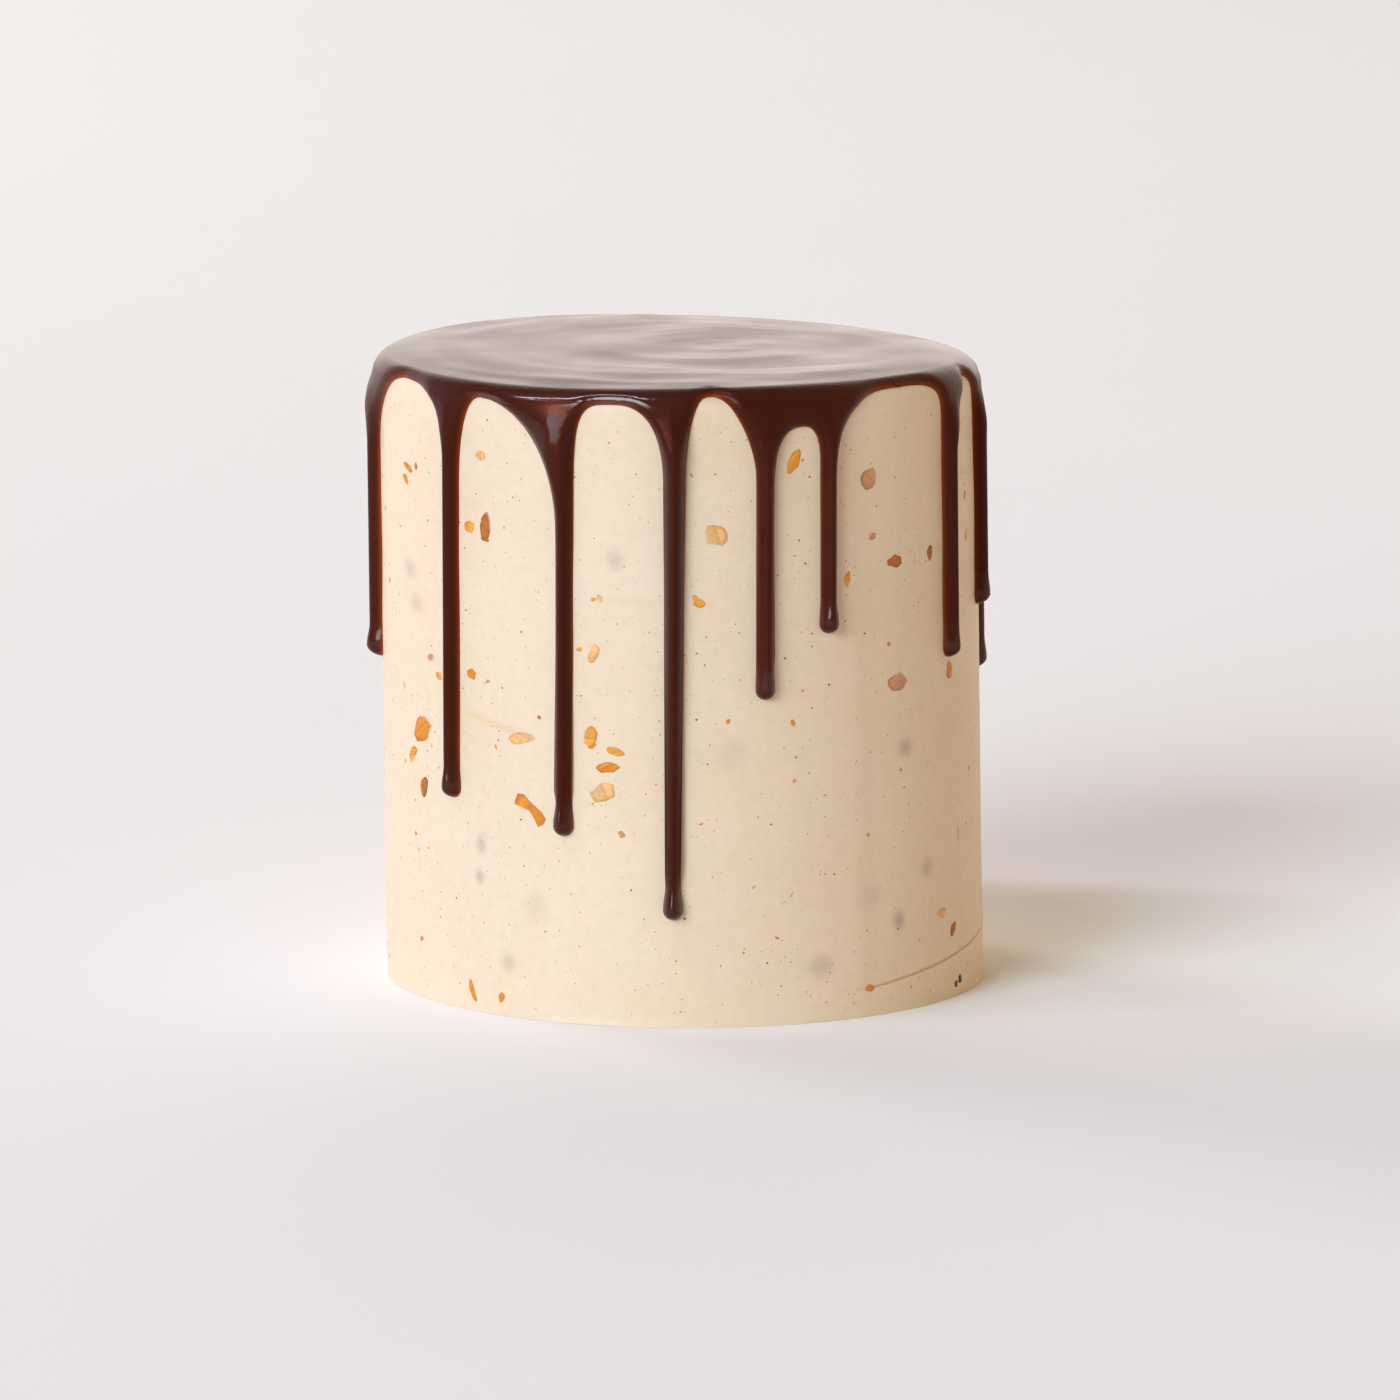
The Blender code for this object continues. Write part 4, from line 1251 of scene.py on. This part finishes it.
def makeSky():
    # sum over the sides of colour * (part of the direction towards that side)^power
    world = bpy.data.worlds.new("studio")
    bpy.context.scene.world = world
    world.use_nodes = True
    tree = world.node_tree
    tree.nodes.clear()
    parts = addNode(tree, "SeparateXYZ", {0: addNode(tree, "TexCoord").outputs["Generated"]}).outputs
    total = (0.0, 0.0, 0.0)
    for axis, sign, color, strength, power in sky.values():
        facing = combine(tree, "MULTIPLY", parts[axis], sign, use_clamp=True)
        share = combine(tree, "POWER", facing, power)
        glow = addNode(tree, "VectorMath", {0: lit(color, strength), "Scale": share}, operation="SCALE")
        total = addNode(tree, "VectorMath", {0: total, 1: glow.outputs[0]}, operation="ADD").outputs[0]
    background = addNode(tree, "Background", {"Color": total, "Strength": 1.0})
    addNode(tree, "OutputWorld", {"Surface": background.outputs[0]})


def placeLight(name, kind, color, strength, aim):
    # a lamp whose colour carries its strength, turned so that its light comes from the aim
    light = bpy.data.lights.new(name, kind)
    light.energy = 1.0
    light.color = lit(color, strength)
    lamp = bpy.data.objects.new(name, light)
    lamp.rotation_euler = aim.to_track_quat("Z", "Y").to_euler()
    bpy.context.scene.collection.objects.link(lamp)
    return lamp


def makeLights():
    # two wide suns and two panels aimed at the middle of the cake
    for name, (color, strength, direction, width) in suns.items():
        lamp = placeLight(name, "SUN", color, strength, Vector(direction))
        lamp.data.angle = math.radians(width)
    middle = Vector((0.0, 0.0, cake["height"] / 2))
    for name, (color, strength, place, size, turn, mirrored) in panels.items():
        lamp = placeLight(name, "AREA", color, strength, Vector(place) - middle)
        lamp.location = place
        lamp.rotation_euler.rotate_axis("Z", math.radians(turn))
        lamp.data.shape = "RECTANGLE"
        lamp.data.size, lamp.data.size_y = size
        lamp.visible_glossy = mirrored


def makeCamera():
    # long lens in front of the cake, looking down by the pitch, then turned by the yaw and the roll
    data = bpy.data.cameras.new("camera")
    data.sensor_width = studio["sensor"]
    data.lens = studio["focalPixels"] / studio["pictureWidth"] * studio["sensor"]
    data.clip_end = 100.0
    camera = bpy.data.objects.new("camera", data)
    pitch, yaw, roll = (math.radians(studio[key]) for key in ("pitch", "yaw", "roll"))
    ahead = np.array([math.sin(yaw) * math.cos(pitch), math.cos(yaw) * math.cos(pitch), -math.sin(pitch)])
    level = np.array([math.cos(yaw), -math.sin(yaw), 0.0])
    upward = np.cross(level, ahead)
    right = math.cos(roll) * level + math.sin(roll) * upward
    up = -math.sin(roll) * level + math.cos(roll) * upward
    spot = (0.0, -studio["distance"], studio["cameraHeight"])
    rows = [(right[k], up[k], -ahead[k], spot[k]) for k in range(3)]
    camera.matrix_world = Matrix(rows + [(0.0, 0.0, 0.0, 1.0)])
    bpy.context.scene.collection.objects.link(camera)
    bpy.context.scene.camera = camera


# Build

makeFloor()
makeSky()
makeLights()
makeCamera()
bpy.context.scene.view_settings.view_transform = "Standard"
bpy.context.scene.view_settings.look = "None"
print("studio ready")

frosting = makeButtercream(scrapedButtercream())
peanuts = makePeanuts(choppedPeanut())
crumbs = makeSpecks(peanutSpeck())
print("buttercream and peanuts ready")
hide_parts("frosted_cake")
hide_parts("frosted_cake")
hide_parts("frosted_cake")
for piece in (frosting, peanuts, crumbs):
    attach(piece, "root")

pour = makeGanache(setGanache())
print("ganache ready")
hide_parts("ganache")
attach(pour, "root")
